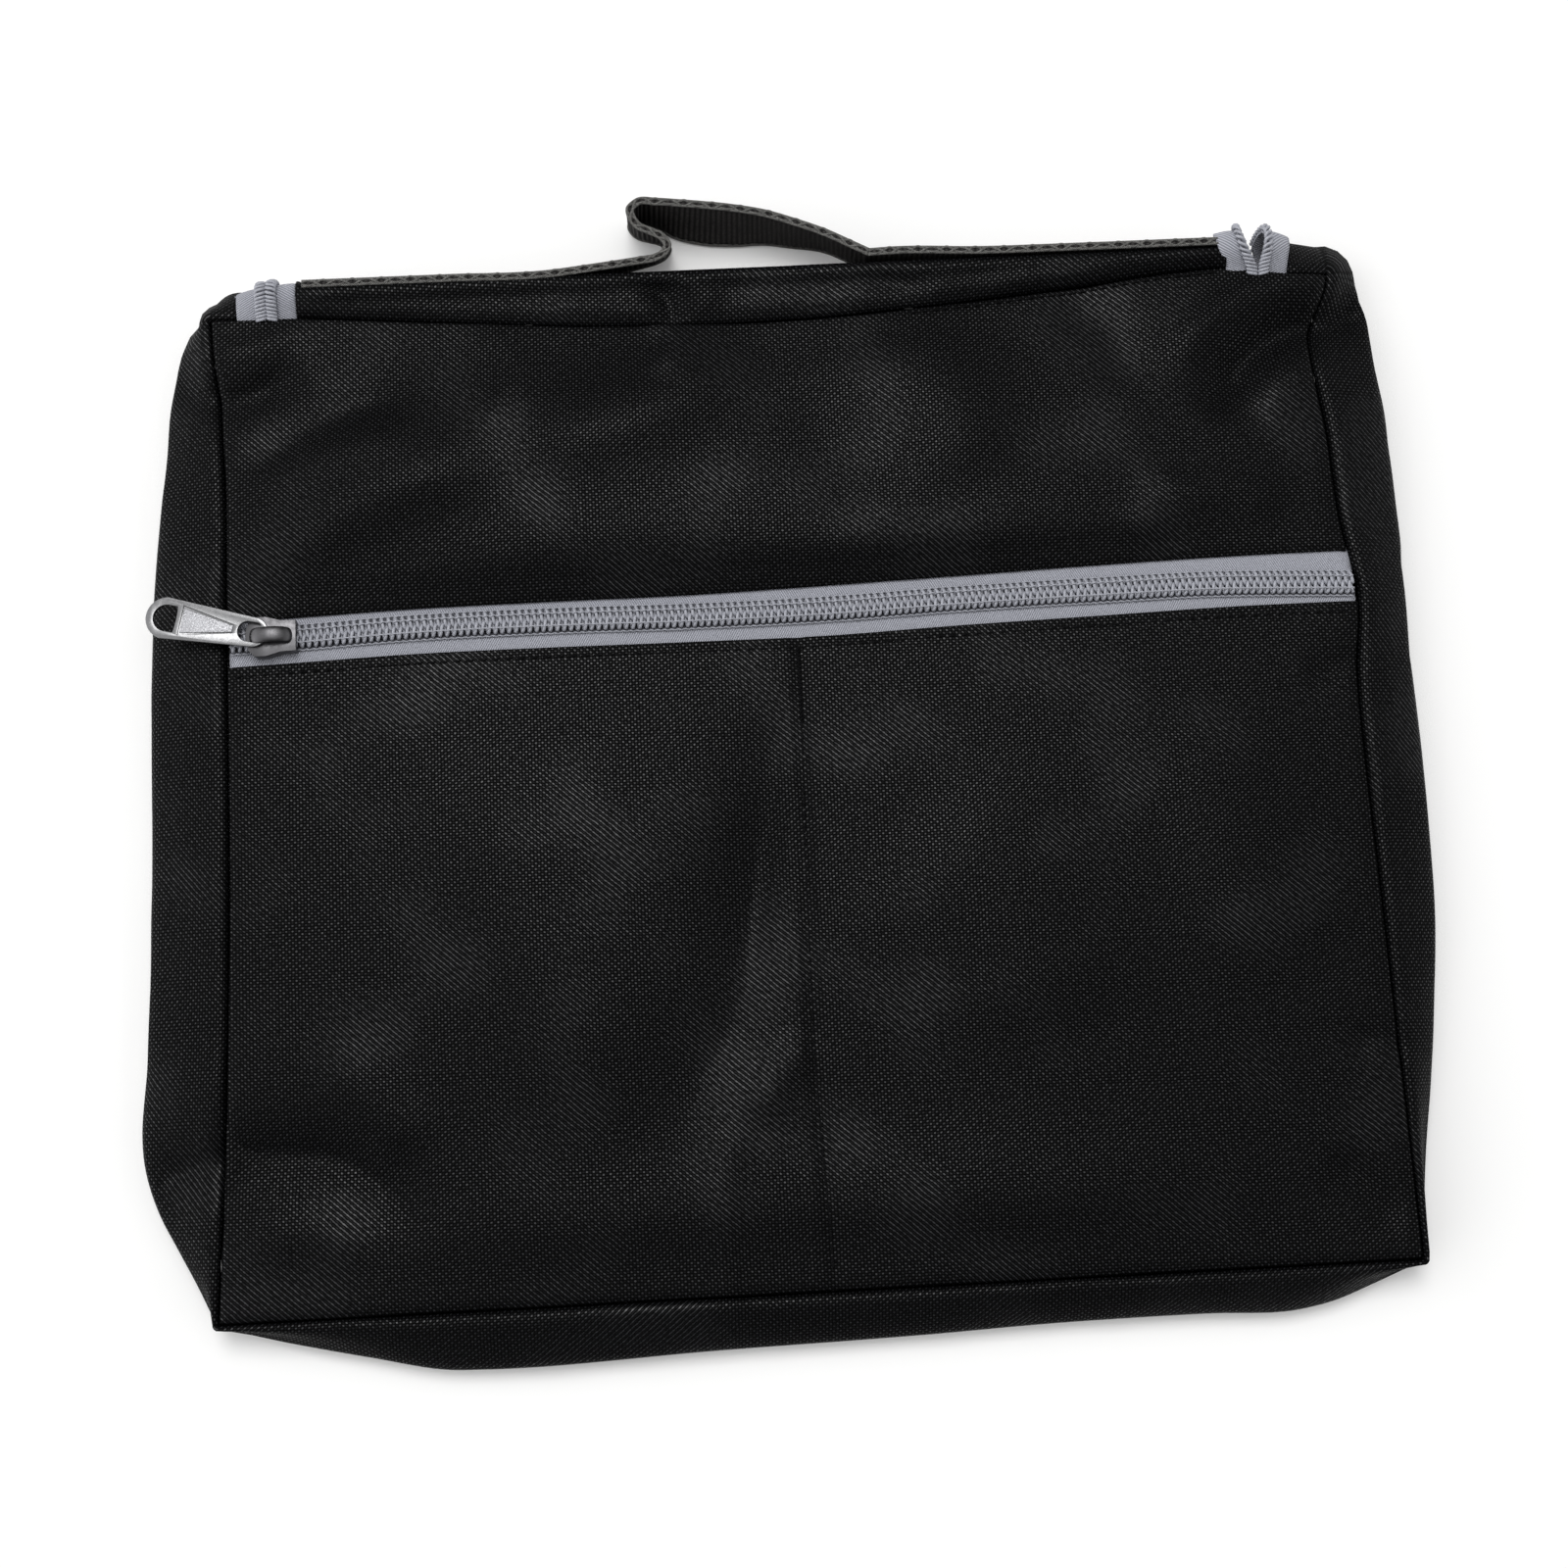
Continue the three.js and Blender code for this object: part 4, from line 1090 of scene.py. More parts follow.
# %% Winding and sewing
PITCH = 1.67
WIRE = 0.42
LOOP_FAR = 2.95
LOOP_LOW = 0.12
LOOP_HIGH = 2.0
LOOP_ROUNDNESS = 0.75
LEFT_INSET = 3.0
RIGHT_INSET = 3.9
COIL_SIDES = 6
THREAD_SIDES = 5
THREAD_LIFT = LOOP_HIGH + 0.02
THREAD_DIP = 0.16
THREAD_SWAY = 0.1


def winding(curve, start, stop, phase, near, points_per_turn):
    turns = np.linspace(0, 1, int((stop - start) / PITCH * points_per_turn))
    at = start + (stop - start) * turns
    angle = 2 * math.pi * (at / PITCH + phase)
    place, sideways, outward = curve(at)
    inner = near(at) + WIRE
    middle = (inner + LOOP_FAR - WIRE) / 2
    reach = (LOOP_FAR - WIRE - inner) / 2
    squared = np.sign(np.cos(angle)) * np.abs(np.cos(angle)) ** LOOP_ROUNDNESS
    rise = (LOOP_HIGH - LOOP_LOW) / 2 - WIRE
    height = (LOOP_HIGH + LOOP_LOW) / 2 + rise * np.sin(angle)
    return (
        place + sideways * (middle + reach * squared)[:, None] + outward * height[:, None])


def sewing(curve, start, stop, distance, lift):
    at = steps(start, stop, PITCH / 5)
    place, sideways, outward = curve(at)
    turn = 2 * math.pi * at / PITCH
    wave = lift + THREAD_DIP * np.cos(turn)
    sway = distance + THREAD_SWAY * np.sin(turn)
    return place + sideways * sway[:, None] + outward * wave[:, None]


# %% Coils of the pocket zip
def pocket_curve(side):
    def curve(at):
        line = chain_line(at)
        place = np.stack([at, line, TAPE_FACE + 0.8 * seam_groove(from_sides(at, line))], -1)
        ones = np.ones_like(at)
        return (place, np.stack([0 * ones, side * ones, 0 * ones], -1),
                np.stack([0 * ones, 0 * ones, ones], -1))
    return curve


zip_from, zip_to = left_seam(ZIP_END_LEVEL) + 1.2, right_seam(ZIP_END_LEVEL) - 1.2
for label, side in (("upper", 1), ("lower", -1)):
    curve = pocket_curve(side)
    name = "pocket_coil_" + label
    coil = winding(
        curve, zip_from, zip_to, 0.25 * side, lambda at: np.full_like(at, -0.75), 11)
    threads = [
        sewing(curve, zip_from, zip_to, distance, lift)
        for distance, lift in ((1.55, THREAD_LIFT), (3.15, 0.45))]
    piece = tubes_piece(
        name, [coil], WIRE, COIL_SIDES, (1, 0, 0), coil_finish, "pouch")
    tubes_piece(
        name + "_stitch", threads, 0.2, THREAD_SIDES, (0, 0, 1), coil_finish, "pouch")
    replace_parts(piece, "pocket_zip_coil_" + label)


# %% Coils of the back zip
def closed_ends(at):
    left = 1 - smooth_step(at, 14, 24)
    right = 1 - smooth_step(ROUTE_END - at, 4.5, 9)
    return np.maximum(left, right)


def back_near(at, side):
    return 0.05 - 0.3 * closed_ends(at) + parted(at, side)


def back_curve(side):
    def curve(at):
        place, sideways, outward = on_route(at)
        slide, lift = curl(at, side, 0.2)
        moved = place + sideways * slide[:, None] + outward * lift[:, None]
        return moved, sideways * side, outward
    return curve


def back_coil(name, side, body, runs):
    curve = back_curve(side)
    paths, aheads = [], []
    for start, stop, phase in runs:
        path = winding(
            curve, start, stop, 0.25 * side + phase, lambda at: back_near(at, side), 9)
        paths.append(path)
        aheads.append(unit(np.gradient(curve(np.linspace(start, stop, len(path)))[0], axis=0)))
    return tubes_piece(name, paths, WIRE, COIL_SIDES, aheads, coil_finish, body)


left_coil_end = [(LEFT_INSET, END_RUN, phase) for phase in (0, 0.5)]
coil_middle = [(END_RUN, ROUTE_END - END_RUN, 0)]
right_coil_end = [
    (ROUTE_END - END_RUN, ROUTE_END - RIGHT_INSET, phase) for phase in (0, 0.5)]
back_coil_outer = back_coil(
    "back_coil_outer", 1, "pouch", left_coil_end + coil_middle + right_coil_end)
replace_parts(back_coil_outer, "main_zip_coil_outer")
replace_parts(back_coil("back_coil_inner", -1, "lid", coil_middle), "main_zip_coil_inner")
bend_at_hinge(back_coil("back_coil_inner_left", -1, None, left_coil_end))
bend_at_hinge(back_coil("back_coil_inner_right", -1, None, right_coil_end))
for label, side, body in (("outer", 1, "pouch"), ("inner", -1, "lid")):
    thread = sewing(back_curve(side), END_RUN, ROUTE_END - END_RUN, 1.6, THREAD_LIFT)
    tubes_piece(
        f"back_coil_{label}_stitch", [thread], 0.24, THREAD_SIDES, (1, 0, 0), coil_finish, body)

# %% [markdown]
# ## Flap, border and top strip
#
# The flap rests on the table, so its middle is flat and its edge rises to the zip. The
# border joins the zip to the back seam. The top strip comes up from the back, stands as a
# low wall under the handle and ends at the front seam.

# %% Height of the flap
CHANNEL_SLOPE = 12
UNDER_TAPE = CLOTH + GAP
FLAP_LEFT = -ZIP_LEFT + BAND_HALF
FLAP_RIGHT = ZIP_RIGHT - BAND_HALF
FLAP_BOTTOM = ZIP_BOTTOM + BAND_HALF
FLAP_RADIUS = ZIP_RADIUS - BAND_HALF


def channel_lift(distance, channel):
    return (channel - UNDER_TAPE) * (1 - smooth_step(distance, 0, CHANNEL_SLOPE))


def flap_height(x, y):
    left = x < 0
    centre_x = np.where(left, LEFT_CENTRE[0], RIGHT_CENTRE[0])
    channel = np.where(left, CHANNEL_LEFT, CHANNEL_RIGHT)
    sideways = np.where(left, x - FLAP_LEFT, FLAP_RIGHT - x)
    flat = np.maximum(channel_lift(sideways, channel), channel_lift(y - FLAP_BOTTOM, CHANNEL_RIGHT))
    away_x, away_y = np.abs(x - centre_x), np.abs(y - LEFT_CENTRE[1])
    turned = np.arctan2(away_y, away_x) / (math.pi / 2)
    deep = channel + (CHANNEL_RIGHT - channel) * smooth_step(turned, 0, 1)
    round_lift = channel_lift(FLAP_RADIUS - np.hypot(away_x, away_y), deep)
    in_corner = (y < LEFT_CENTRE[1]) & (np.abs(x) > np.abs(centre_x))
    return np.where(in_corner, round_lift, flat)


def flap_edge(x):
    centre_x = np.where(x < 0, LEFT_CENTRE[0], RIGHT_CENTRE[0])
    past = np.maximum(np.abs(x) - np.abs(centre_x), 0)
    return LEFT_CENTRE[1] - np.sqrt(np.maximum(FLAP_RADIUS ** 2 - past ** 2, 0))


# %% Flap cloth
ARC_COLUMNS = 16
FLAP_ROWS = 90
SAG = 0.4
arc = np.sin(np.linspace(math.pi / 2, 0, ARC_COLUMNS))
columns = np.concatenate([
    LEFT_CENTRE[0] - FLAP_RADIUS * arc, steps(LEFT_CENTRE[0], RIGHT_CENTRE[0], 3)[1:-1],
    (RIGHT_CENTRE[0] + FLAP_RADIUS * arc)[::-1]])
share_y = np.linspace(0, 1, FLAP_ROWS) ** 1.2
x = np.repeat(columns[None], len(share_y), 0)
y = flap_edge(x) + share_y[:, None] * (HALF_HEIGHT - GAP - flap_edge(x))
sag = SAG * np.abs(slow_noise(x, y, 30, 1.5)) * smooth_step(y, FLAP_BOTTOM + 14, FLAP_BOTTOM + 40)
z = flap_height(x, y) + sag * (1 - smooth_step(y, 95, 118))
flap_cloth = height_cloth("back_flap_cloth", x, y, z, "lid", turned=True)
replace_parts(flap_cloth, "back_flap")


# %% Border
def seam_distance(place, side):
    down = np.full(len(place), np.inf)
    falling = side[:, 1] < -1e-6
    down[falling] = (-HALF_HEIGHT - place[falling, 1]) / side[falling, 1]
    across = np.zeros(len(place))
    turned = np.abs(side[:, 0]) > 1e-6
    for _ in range(8):
        y = np.clip(place[turned, 1] + across[turned] * side[turned, 1], -HALF_HEIGHT, HALF_HEIGHT)
        edge = np.where(side[turned, 0] < 0, back_seam(y, -1), back_seam(y, 1))
        across[turned] = (edge - place[turned, 0]) / side[turned, 0]
    return np.where(turned, np.minimum(across, down), down)


# Past its knee the border drops slowly to the back seam.
KNEE_SHARE = 0.6
KNEE_HEIGHT = 0.25


def border_grid():
    at = np.arange(0, ROUTE_END, GRAIN)
    place, side = on_route(at)[:2]
    back = (place[:, 2] < 6.4) & (place[:, 1] < HALF_HEIGHT - GAP)
    at, place, side = at[back], place[back], side[back]
    reach = seam_distance(place, side) - GAP
    height = place[:, 2] - UNDER_TAPE
    foot = np.maximum(reach - CHANNEL_SLOPE, BAND_HALF + 2.5)
    knee = BAND_HALF + (foot - BAND_HALF) * 0.8 + (reach - foot) * 0.45
    rows = []
    for share in np.linspace(0, 1, TAPE_COLUMNS):
        if share < KNEE_SHARE:
            part = share / KNEE_SHARE
            distance = BAND_HALF + (knee - BAND_HALF) * part
            z = height * (1 - (1 - KNEE_HEIGHT) * smooth_step(part, 0, 1))
        else:
            part = (share - KNEE_SHARE) / (1 - KNEE_SHARE)
            distance = knee + (reach - knee) * part
            z = height * KNEE_HEIGHT * (1 - part)
        point = place + side * distance[:, None]
        point[:, 2] = z
        rows.append(point)
    grid = np.stack(rows, 1)
    crosswise = crosswise_run(grid)
    return grid, np.stack([np.repeat(at[:, None], TAPE_COLUMNS, 1), crosswise], -1)


grid, pattern = border_grid()
border_cloth = cloth_piece("back_border_cloth", grid, pattern, "pouch", turned=True)
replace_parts(border_cloth, "back_border")


# %% Wall behind the pocket
BACKING_PAST_ZIP = 10


def backing_height(x, y):
    face = TAPE_FACE - TAPE_THICK - GAP
    side = np.minimum(from_sides(x, y), y + HALF_HEIGHT)
    edge = 1 - smooth_step(np.minimum(side, upper_edge(x) + BACKING_PAST_ZIP - y), 0, 5)
    divider_top = pocket_zip(DIVIDER_X) - TAPE_HALF - 1
    ridge = np.clip(1 - np.abs(x - DIVIDER_X) / 5, 0, 1) * (
        1 - smooth_step(y, divider_top - 5, divider_top))
    base = face - 1.4 * (1 - edge)
    return base + (TAPE_FACE - base) * ridge - 0.15


x, y, share_x, share_y = panel_grid(bottom_edge, lambda x: upper_edge(x) + BACKING_PAST_ZIP)
x, y = x[::3, ::3], y[::3, ::3]
lining = height_cloth("pocket_lining", x, y, backing_height(x, y), "pouch")
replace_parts(lining, "pocket_backing")

# %% Section of the top strip
WALL_LINE = np.array([
    (GAP, DEPTH), (3.2, 13.5), (5.4, 14.3), (6.5, 14), (7, 12.8),
    (8.6, 2.8), (8.2, 1), (6.8, 0), (GAP, 0)])
WALL_RUN = 4
LINE_POINTS = 30


def offset_line(line, distance):
    ahead = unit(np.gradient(line, axis=0))
    return line + distance * np.stack([-ahead[:, 1], ahead[:, 0]], -1)


def strip_line(x):
    from_end = min(x - FLAP_LEFT, FLAP_RIGHT - x)
    share = smooth_step(from_end, 0, WALL_RUN)
    channel = CHANNEL_LEFT if x < 0 else CHANNEL_RIGHT
    folded = offset_line(fold_line(channel), UNDER_TAPE)
    line = folded * (1 - share) + WALL_LINE * share
    line[0] = (top_seam(np.array(x)) - HALF_HEIGHT + GAP, DEPTH - 0.35)
    line[1, 0] = max(line[1, 0], line[0, 0] + 1.6)
    line[-1] = (GAP, flap_height(np.array(x), np.array(HALF_HEIGHT)))
    rise = np.insert(line, 1, (line[0] * 0.75 + line[1] * 0.25) + np.array([0, 0.45]), axis=0)
    return smooth_line(rise, LINE_POINTS)


def strip_shift(x, height):
    left = 2.7 * (1 - smooth_step(x - FLAP_LEFT, 1, 14))
    right = -2.1 * (1 - smooth_step(FLAP_RIGHT - x, 1, 14))
    return (left + right) * smooth_step(height, 4, 11)


# %% Top strip cloth
strip_x = np.concatenate([
    steps(FLAP_LEFT + 0.1, FLAP_LEFT + WALL_RUN, 0.6),
    steps(FLAP_LEFT + WALL_RUN + 1.5, FLAP_RIGHT - WALL_RUN - 1.5, 1.7),
    steps(FLAP_RIGHT - WALL_RUN, FLAP_RIGHT - 0.1, 0.6)])
lines = np.array([strip_line(x) for x in strip_x])
grid = np.stack([
    np.repeat(strip_x[:, None], lines.shape[1], 1), HALF_HEIGHT + lines[..., 0], lines[..., 1]], -1)
grid[..., 0] += strip_shift(grid[..., 0], grid[..., 2])
STRIP_FOLDS = [
    ([(-38, 131), (-29, 126), (-25, 119), (-28, 112)], -2.4, 3.2, 2.6, (0, 1), 1.5),
    ([(-24, 131), (-18, 124), (-12, 118)], 0.7, 3, 3, (0, 1), 2),
    ([(22, 131), (27, 125), (44, 121)], -0.8, 3, 3, (0, 1), 2),
    ([(30, 121), (60, 122.5), (96, 126)], 0.6, 2.5, 2.5, (1, 1), 2),
]
upper_part = smooth_step(grid[..., 2], 11.2, 12.6) * smooth_step(HALF_HEIGHT + 6 - grid[..., 1], 0, 3)
inside = smooth_step(np.minimum(grid[..., 0] - FLAP_LEFT, FLAP_RIGHT - grid[..., 0]), 2, 9)
grid[..., 2] += fold_height(grid[..., 0], grid[..., 1], STRIP_FOLDS) * upper_part
grid[..., 2] += 0.5 * slow_noise(grid[..., 0], grid[..., 1], 13, 8.8) * upper_part * inside
grid[..., 2] = np.maximum(grid[..., 2], CLOTH)
crosswise = crosswise_run(grid)
strip_cloth = cloth_piece(
    "top_strip_cloth", grid, np.stack([grid[..., 0], crosswise], -1), None)
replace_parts(strip_cloth, "top_strip")
bend_at_hinge(strip_cloth)

# %% [markdown]
# ## Handle of woven tape
#
# The handle is a thick ribbed tape that stands on its edge. Two stretches are sewn to the
# wall of the top strip, and the loop between them is free: it folds back on itself at the
# left and runs down to the right. Its edges are a braid of two lighter yarns, seen from
# above as a chain of small loops.

# %% Woven tape
WEB_WIDTH = 14.4
WEB_THICK = 1.5
WEB_FOOT = 0.3
WEB_WALL = 131.7
EDGE_LOOP = 7.2
EDGE_SWAY = 0.72
EDGE_YARN = 0.32
RIB_HEIGHT = 0.13
RUN_STEP = 0.33
LOOP_POINTS = 330


def web_piece(name, upper, lower, body, node):
    run = run_length(upper)
    ahead = unit(np.gradient(upper + lower, axis=0))
    outward = np.stack([-ahead[:, 1], ahead[:, 0]], -1)
    shares = np.linspace(0, 1, 8)
    ring = [(1, share) for share in shares] + [(-1, share) for share in shares[::-1]]
    rib = RIB_HEIGHT * np.cos(2 * math.pi * run / RIB_PITCH)
    rows = []
    for side, share in ring:
        half = (WEB_THICK / 2 + rib) * side * (1 - 0.35 * (2 * abs(share - 0.5)) ** 8)
        place = lower + share * (upper - lower) + outward * half[:, None]
        rows.append(np.column_stack([place, np.full_like(run, WEB_FOOT + share * WEB_WIDTH)]))
    grid = np.stack(rows, 1)
    count = len(ring)
    faces = []
    for k in range(len(run) - 1):
        for j in range(count):
            a, b = k * count + j, k * count + (j + 1) % count
            faces.append((a, b, b + count, a + count))
    faces.append(tuple(reversed(range(count))))
    faces.append(tuple((len(run) - 1) * count + j for j in range(count)))
    across = np.concatenate([shares, shares[::-1]]) * WEB_WIDTH
    pattern = np.stack([np.repeat(run[:, None], count, 1), np.repeat(across[None], len(run), 0)], -1)
    piece = new_piece(
        name, grid.reshape(-1, 3), faces, pattern.reshape(-1, 2), webbing_finish, body)
    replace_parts(piece, node)
    braids = []
    wave = 2 * math.pi * run / EDGE_LOOP
    for edge, lift in ((upper, WEB_WIDTH + 0.1), (lower, 0.35)):
        for sway, rise in (
            (EDGE_SWAY * np.sin(wave), 0.2 * np.cos(2 * wave)),
            (-EDGE_SWAY * np.sin(wave), -0.2 * np.cos(2 * wave)),
            (np.full_like(run, EDGE_SWAY), np.full_like(run, -0.1)),
            (np.full_like(run, -EDGE_SWAY), np.full_like(run, -0.1)),
        ):
            braids.append(np.column_stack([edge + outward * sway[:, None], WEB_FOOT + lift + rise]))
    edge = tubes_piece(
        name + "_edge", braids, EDGE_YARN, 6, (0, 0, 1), selvedge_finish, body)
    return piece, edge


def bend_handle(pieces):
    for piece in pieces:
        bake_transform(piece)


# %% Sewn stretches
# Top and foot of the two sewn stretches. Near the loop they leave the wall and lean back.
LEFT_RUN = [
    ((-116.5, 129.3), (-116.5, WEB_WALL)), ((-80, 129.2), (-80, WEB_WALL)),
    ((-55.1, 129.2), (-55.1, 131.9)), ((-45.3, 130.2), (-45.3, 133.4)),
    ((-35.7, 131.3), (-35.9, 135.6)), ((-29, 132.1), (-29.3, 137.2)),
]
RIGHT_RUN = [
    ((24.7, 131.3), (25.7, 132.5)), ((31.2, 131.5), (31.4, WEB_WALL)),
    ((52.8, 130.6), (52.8, WEB_WALL)), ((77.5, 130.4), (77.5, WEB_WALL)),
    ((112.8, 130.3), (112.8, WEB_WALL)),
]
for label, line in (("left", LEFT_RUN), ("right", RIGHT_RUN)):
    count = int((line[-1][0][0] - line[0][0][0]) / RUN_STEP)
    stations = smooth_line([top + foot for top, foot in line], count)
    bend_handle(web_piece(
        "handle_sewn_" + label, stations[:, :2], stations[:, 2:], None, "handle_run_" + label))

# %% Free loop
# Top and foot of the loop at the same stations, from the fold at the left to the right run.
LOOP_STATIONS = [
    ((-29.1, 132.05), (-29.4, 137.15)), ((-26.4, 133.4), (-26.6, 138.6)), ((-25.3, 135.5), (-25.5, 140.5)),
    ((-26.7, 137.8), (-26.9, 142.3)), ((-29.4, 139.3), (-29.6, 143.3)), ((-32.4, 140.9), (-32.6, 144.3)),
    ((-33.9, 143.1), (-34.1, 145.7)), ((-34.3, 145.4), (-34.6, 147.3)), ((-32.6, 147.1), (-33.2, 148.4)),
    ((-27.5, 147.1), (-28.1, 146.9)), ((-22.1, 146.5), (-23.2, 144.1)), ((-15.8, 145.7), (-16.7, 142.2)),
    ((-8.2, 144.5), (-8.4, 141.4)), ((-0.6, 142.8), (-0.6, 141.4)), ((5.9, 140.5), (6.2, 140.3)),
    ((14.3, 137.0), (14.9, 138.6)), ((20.5, 133.7), (21.2, 135.4)), ((24.95, 131.3), (25.95, 132.5)),
]
stations = smooth_line([top + foot for top, foot in LOOP_STATIONS], LOOP_POINTS)
bend_handle(web_piece(
    "handle_free_loop", stations[:, :2], stations[:, 2:], None, "handle_loop"))

# %% [markdown]
# ## Slider body
#
# A zip slider is a die-cast shell: two plates held apart by a post at the nose, with side
# walls that guide the coil, and a bridge on top that holds the puller. The plates begin as
# boxes that are cut at a few stations and widened there, as the outline needs it. The
# tunnel is cut with a boolean, and the bridge is an ellipse spun through half a turn.

# %% Picking and boxes
TOP_PLATE = 3.45
PLATE_STATIONS = [(-6, 3.8), (-2.4, 3.9), (1.2, 4.9), (3.8, 4.9), (5.4, 3.4), (6.1, 1.4)]


def resize_picked(value, centre=(0, 0, 0)):
    bpy.ops.transform.resize(value=value, center_override=centre)


def pick(kind, test):
    bpy.ops.object.mode_set(mode="EDIT")
    bpy.ops.mesh.select_mode(type=kind)
    bpy.ops.mesh.select_all(action="DESELECT")
    bpy.ops.object.mode_set(mode="OBJECT")
    mesh = bpy.context.active_object.data
    items = {"VERT": mesh.vertices, "FACE": mesh.polygons}[kind]
    for item in items:
        place = item.co if kind == "VERT" else item.center
        item.select = bool(test(place / MM, item))
    bpy.ops.object.mode_set(mode="EDIT")


def add_box(name, low, high):
    size = Vector(high) - Vector(low)
    bpy.ops.mesh.primitive_cube_add(size=MM, location=(Vector(low) + Vector(high)) / 2 * MM, scale=size)
    box = bpy.context.active_object
    box.name = name
    bpy.ops.object.transform_apply(location=True, rotation=True, scale=True)
    return box


# %% Cutting, rounding and joining
def cut_with(piece, cutter):
    apply_modifier(piece, "BOOLEAN", object=cutter, operation="DIFFERENCE", solver="EXACT")
    bpy.data.objects.remove(cutter, do_unlink=True)


def round_edges(piece, width):
    apply_modifier(
        piece, "BEVEL", width=width * MM, segments=3, limit_method="ANGLE",
        angle_limit=math.radians(35))
    bpy.ops.object.select_all(action="DESELECT")
    piece.select_set(True)
    bpy.ops.object.shade_smooth_by_angle(angle=math.radians(40))


def join_pieces(name, pieces):
    bpy.ops.object.select_all(action="DESELECT")
    for piece in pieces:
        piece.select_set(True)
    bpy.context.view_layer.objects.active = pieces[0]
    bpy.ops.object.join()
    pieces[0].name = name
    return pieces[0]


# %% Slider plates
def add_plate(name, low, high, inset):
    piece = add_box(name, (PLATE_STATIONS[0][0] + inset, -1, low), (PLATE_STATIONS[-1][0] - inset, 1, high))
    for x, _ in PLATE_STATIONS[1:-1]:
        pick("VERT", lambda place, item: True)
        bpy.ops.mesh.bisect(plane_co=(x * MM, 0, 0), plane_no=(1, 0, 0))
    for x, half in PLATE_STATIONS:
        pick("VERT", lambda place, item: abs(place.x - x) < inset + 0.05)
        resize_picked((1, half - inset, 1))
    bpy.ops.object.mode_set(mode="OBJECT")
    return piece


outer_plate = add_plate("outer_plate", 0.25, TOP_PLATE, 0)
cut_with(outer_plate, add_box("tunnel", (-7, -3.15, -0.5), (7, 3.15, 2.25)))
round_edges(outer_plate, 0.32)
inner_plate = add_plate("inner_plate", -1.85, -0.85, 0.3)
round_edges(inner_plate, 0.25)
nose_post = add_box("nose_post", (3, -0.3, -1.05), (5, 0.3, 2.45))
print("slider plates", len(outer_plate.data.polygons), "faces")

# %% Bridge over the puller
BRIDGE_FOOT = (-4.2 * MM, 0, TOP_PLATE * MM)
BRIDGE_MIDDLE = (0, 0, TOP_PLATE * MM)
bpy.ops.mesh.primitive_circle_add(vertices=16, radius=MM, fill_type="NGON", location=BRIDGE_FOOT)
bridge = bpy.context.active_object
bridge.name = "bridge"
bpy.ops.object.transform_apply(location=True)
pick("VERT", lambda place, item: True)
resize_picked((1, 1.95, 1), BRIDGE_FOOT)
bpy.ops.mesh.spin(steps=18, angle=-math.pi, center=BRIDGE_MIDDLE, axis=(0, 1, 0))
pick("VERT", lambda place, item: True)
resize_picked((1, 1, 0.53), BRIDGE_MIDDLE)
bpy.ops.transform.translate(value=(0, 0, -0.15 * MM))
bpy.ops.mesh.normals_make_consistent(inside=False)
bpy.ops.object.mode_set(mode="OBJECT")
bridge.data.shade_smooth()
slider_shape = join_pieces("slider_shape", [outer_plate, inner_plate, nose_post, bridge])
print("slider", len(slider_shape.data.polygons), "faces")

# %% [markdown]
# ## Puller
#
# The puller is a cast tab with a raised rim. An eye at the narrow end hangs under the
# bridge and a D shaped opening lightens the wide end. The field between them is sunk and
# has the fine grain of the mould. Its outline is one circle whose two halves are pulled
# apart and sized; the openings are cut the same way.


# %% Puller outline and openings
def add_stadium(name, left, right, low, high):
    bpy.ops.mesh.primitive_circle_add(vertices=48, radius=MM, fill_type="NGON", location=(0, 0, low * MM))
    piece = bpy.context.active_object
    piece.name = name
    bpy.ops.object.transform_apply(location=True)
    for (x, half_x, half_y), is_right in ((right, True), (left, False)):
        pick("VERT", lambda place, item: (item.co.x > 0.001 * MM) == is_right and abs(place.x) <= 1.001)
        resize_picked((half_x, half_y, 1), (0, 0, low * MM))
        bpy.ops.transform.translate(value=(x * MM, 0, 0))
    pick("FACE", lambda place, item: True)
    bpy.ops.mesh.extrude_region_move(TRANSFORM_OT_translate={"value": (0, 0, (high - low) * MM)})
    bpy.ops.mesh.select_all(action="SELECT")
    bpy.ops.mesh.normals_make_consistent(inside=False)
    bpy.ops.object.mode_set(mode="OBJECT")
    return piece


def add_field(name, near, far, low, high):
    piece = add_box(name, (near[0], -1, low), (far[0], 1, high))
    for x, half in (near, far):
        pick("VERT", lambda place, item: abs(place.x - x) < 0.05)
        resize_picked((1, half, 1))
    bpy.ops.object.mode_set(mode="OBJECT")
    return piece


puller_rim = add_stadium("puller_rim", (2.85, 3.65, 3.65), (24.3, 5.2, 5.2), -0.5, 0.5)
cut_with(puller_rim, add_stadium("eye_cutter", (1.9, 1.3, 2.5), (4.0, 2.6, 2.5), -1, 1))
cut_with(puller_rim, add_stadium("window_cutter", (22.3, 0.35, 3.3), (24.3, 3.4, 3.3), -1, 1))
cut_with(puller_rim, add_field("field_cutter", (7.6, 1.0), (20.9, 3.75), 0.12, 1))
round_edges(puller_rim, 0.26)
puller_field = add_field("puller_field", (7.9, 0.85), (20.6, 3.1), -0.1, 0.34)
round_edges(puller_field, 0.14)
print("puller rim", len(puller_rim.data.polygons), "faces")

# %% [markdown]
# Both metals are cast zinc. The slider has a dark nickel coat and the puller a bright one;
# the puller's sunk field is grainy, so it sparkles instead of shining.


# %% Metal finishes
def make_metal(name, colour, rough_low, rough_high, grain, depth):
    material, tree, shader = new_material(name, Metallic=1.0, Base_Color=colour)
    specks = noise_node(tree, object_place(tree), grain, 3.0)[0]
    tree.links.new(remap(tree, specks, 0.35, 0.65, rough_low, rough_high), shader.inputs["Roughness"])
    bumped(tree, shader, specks, depth)
    return material


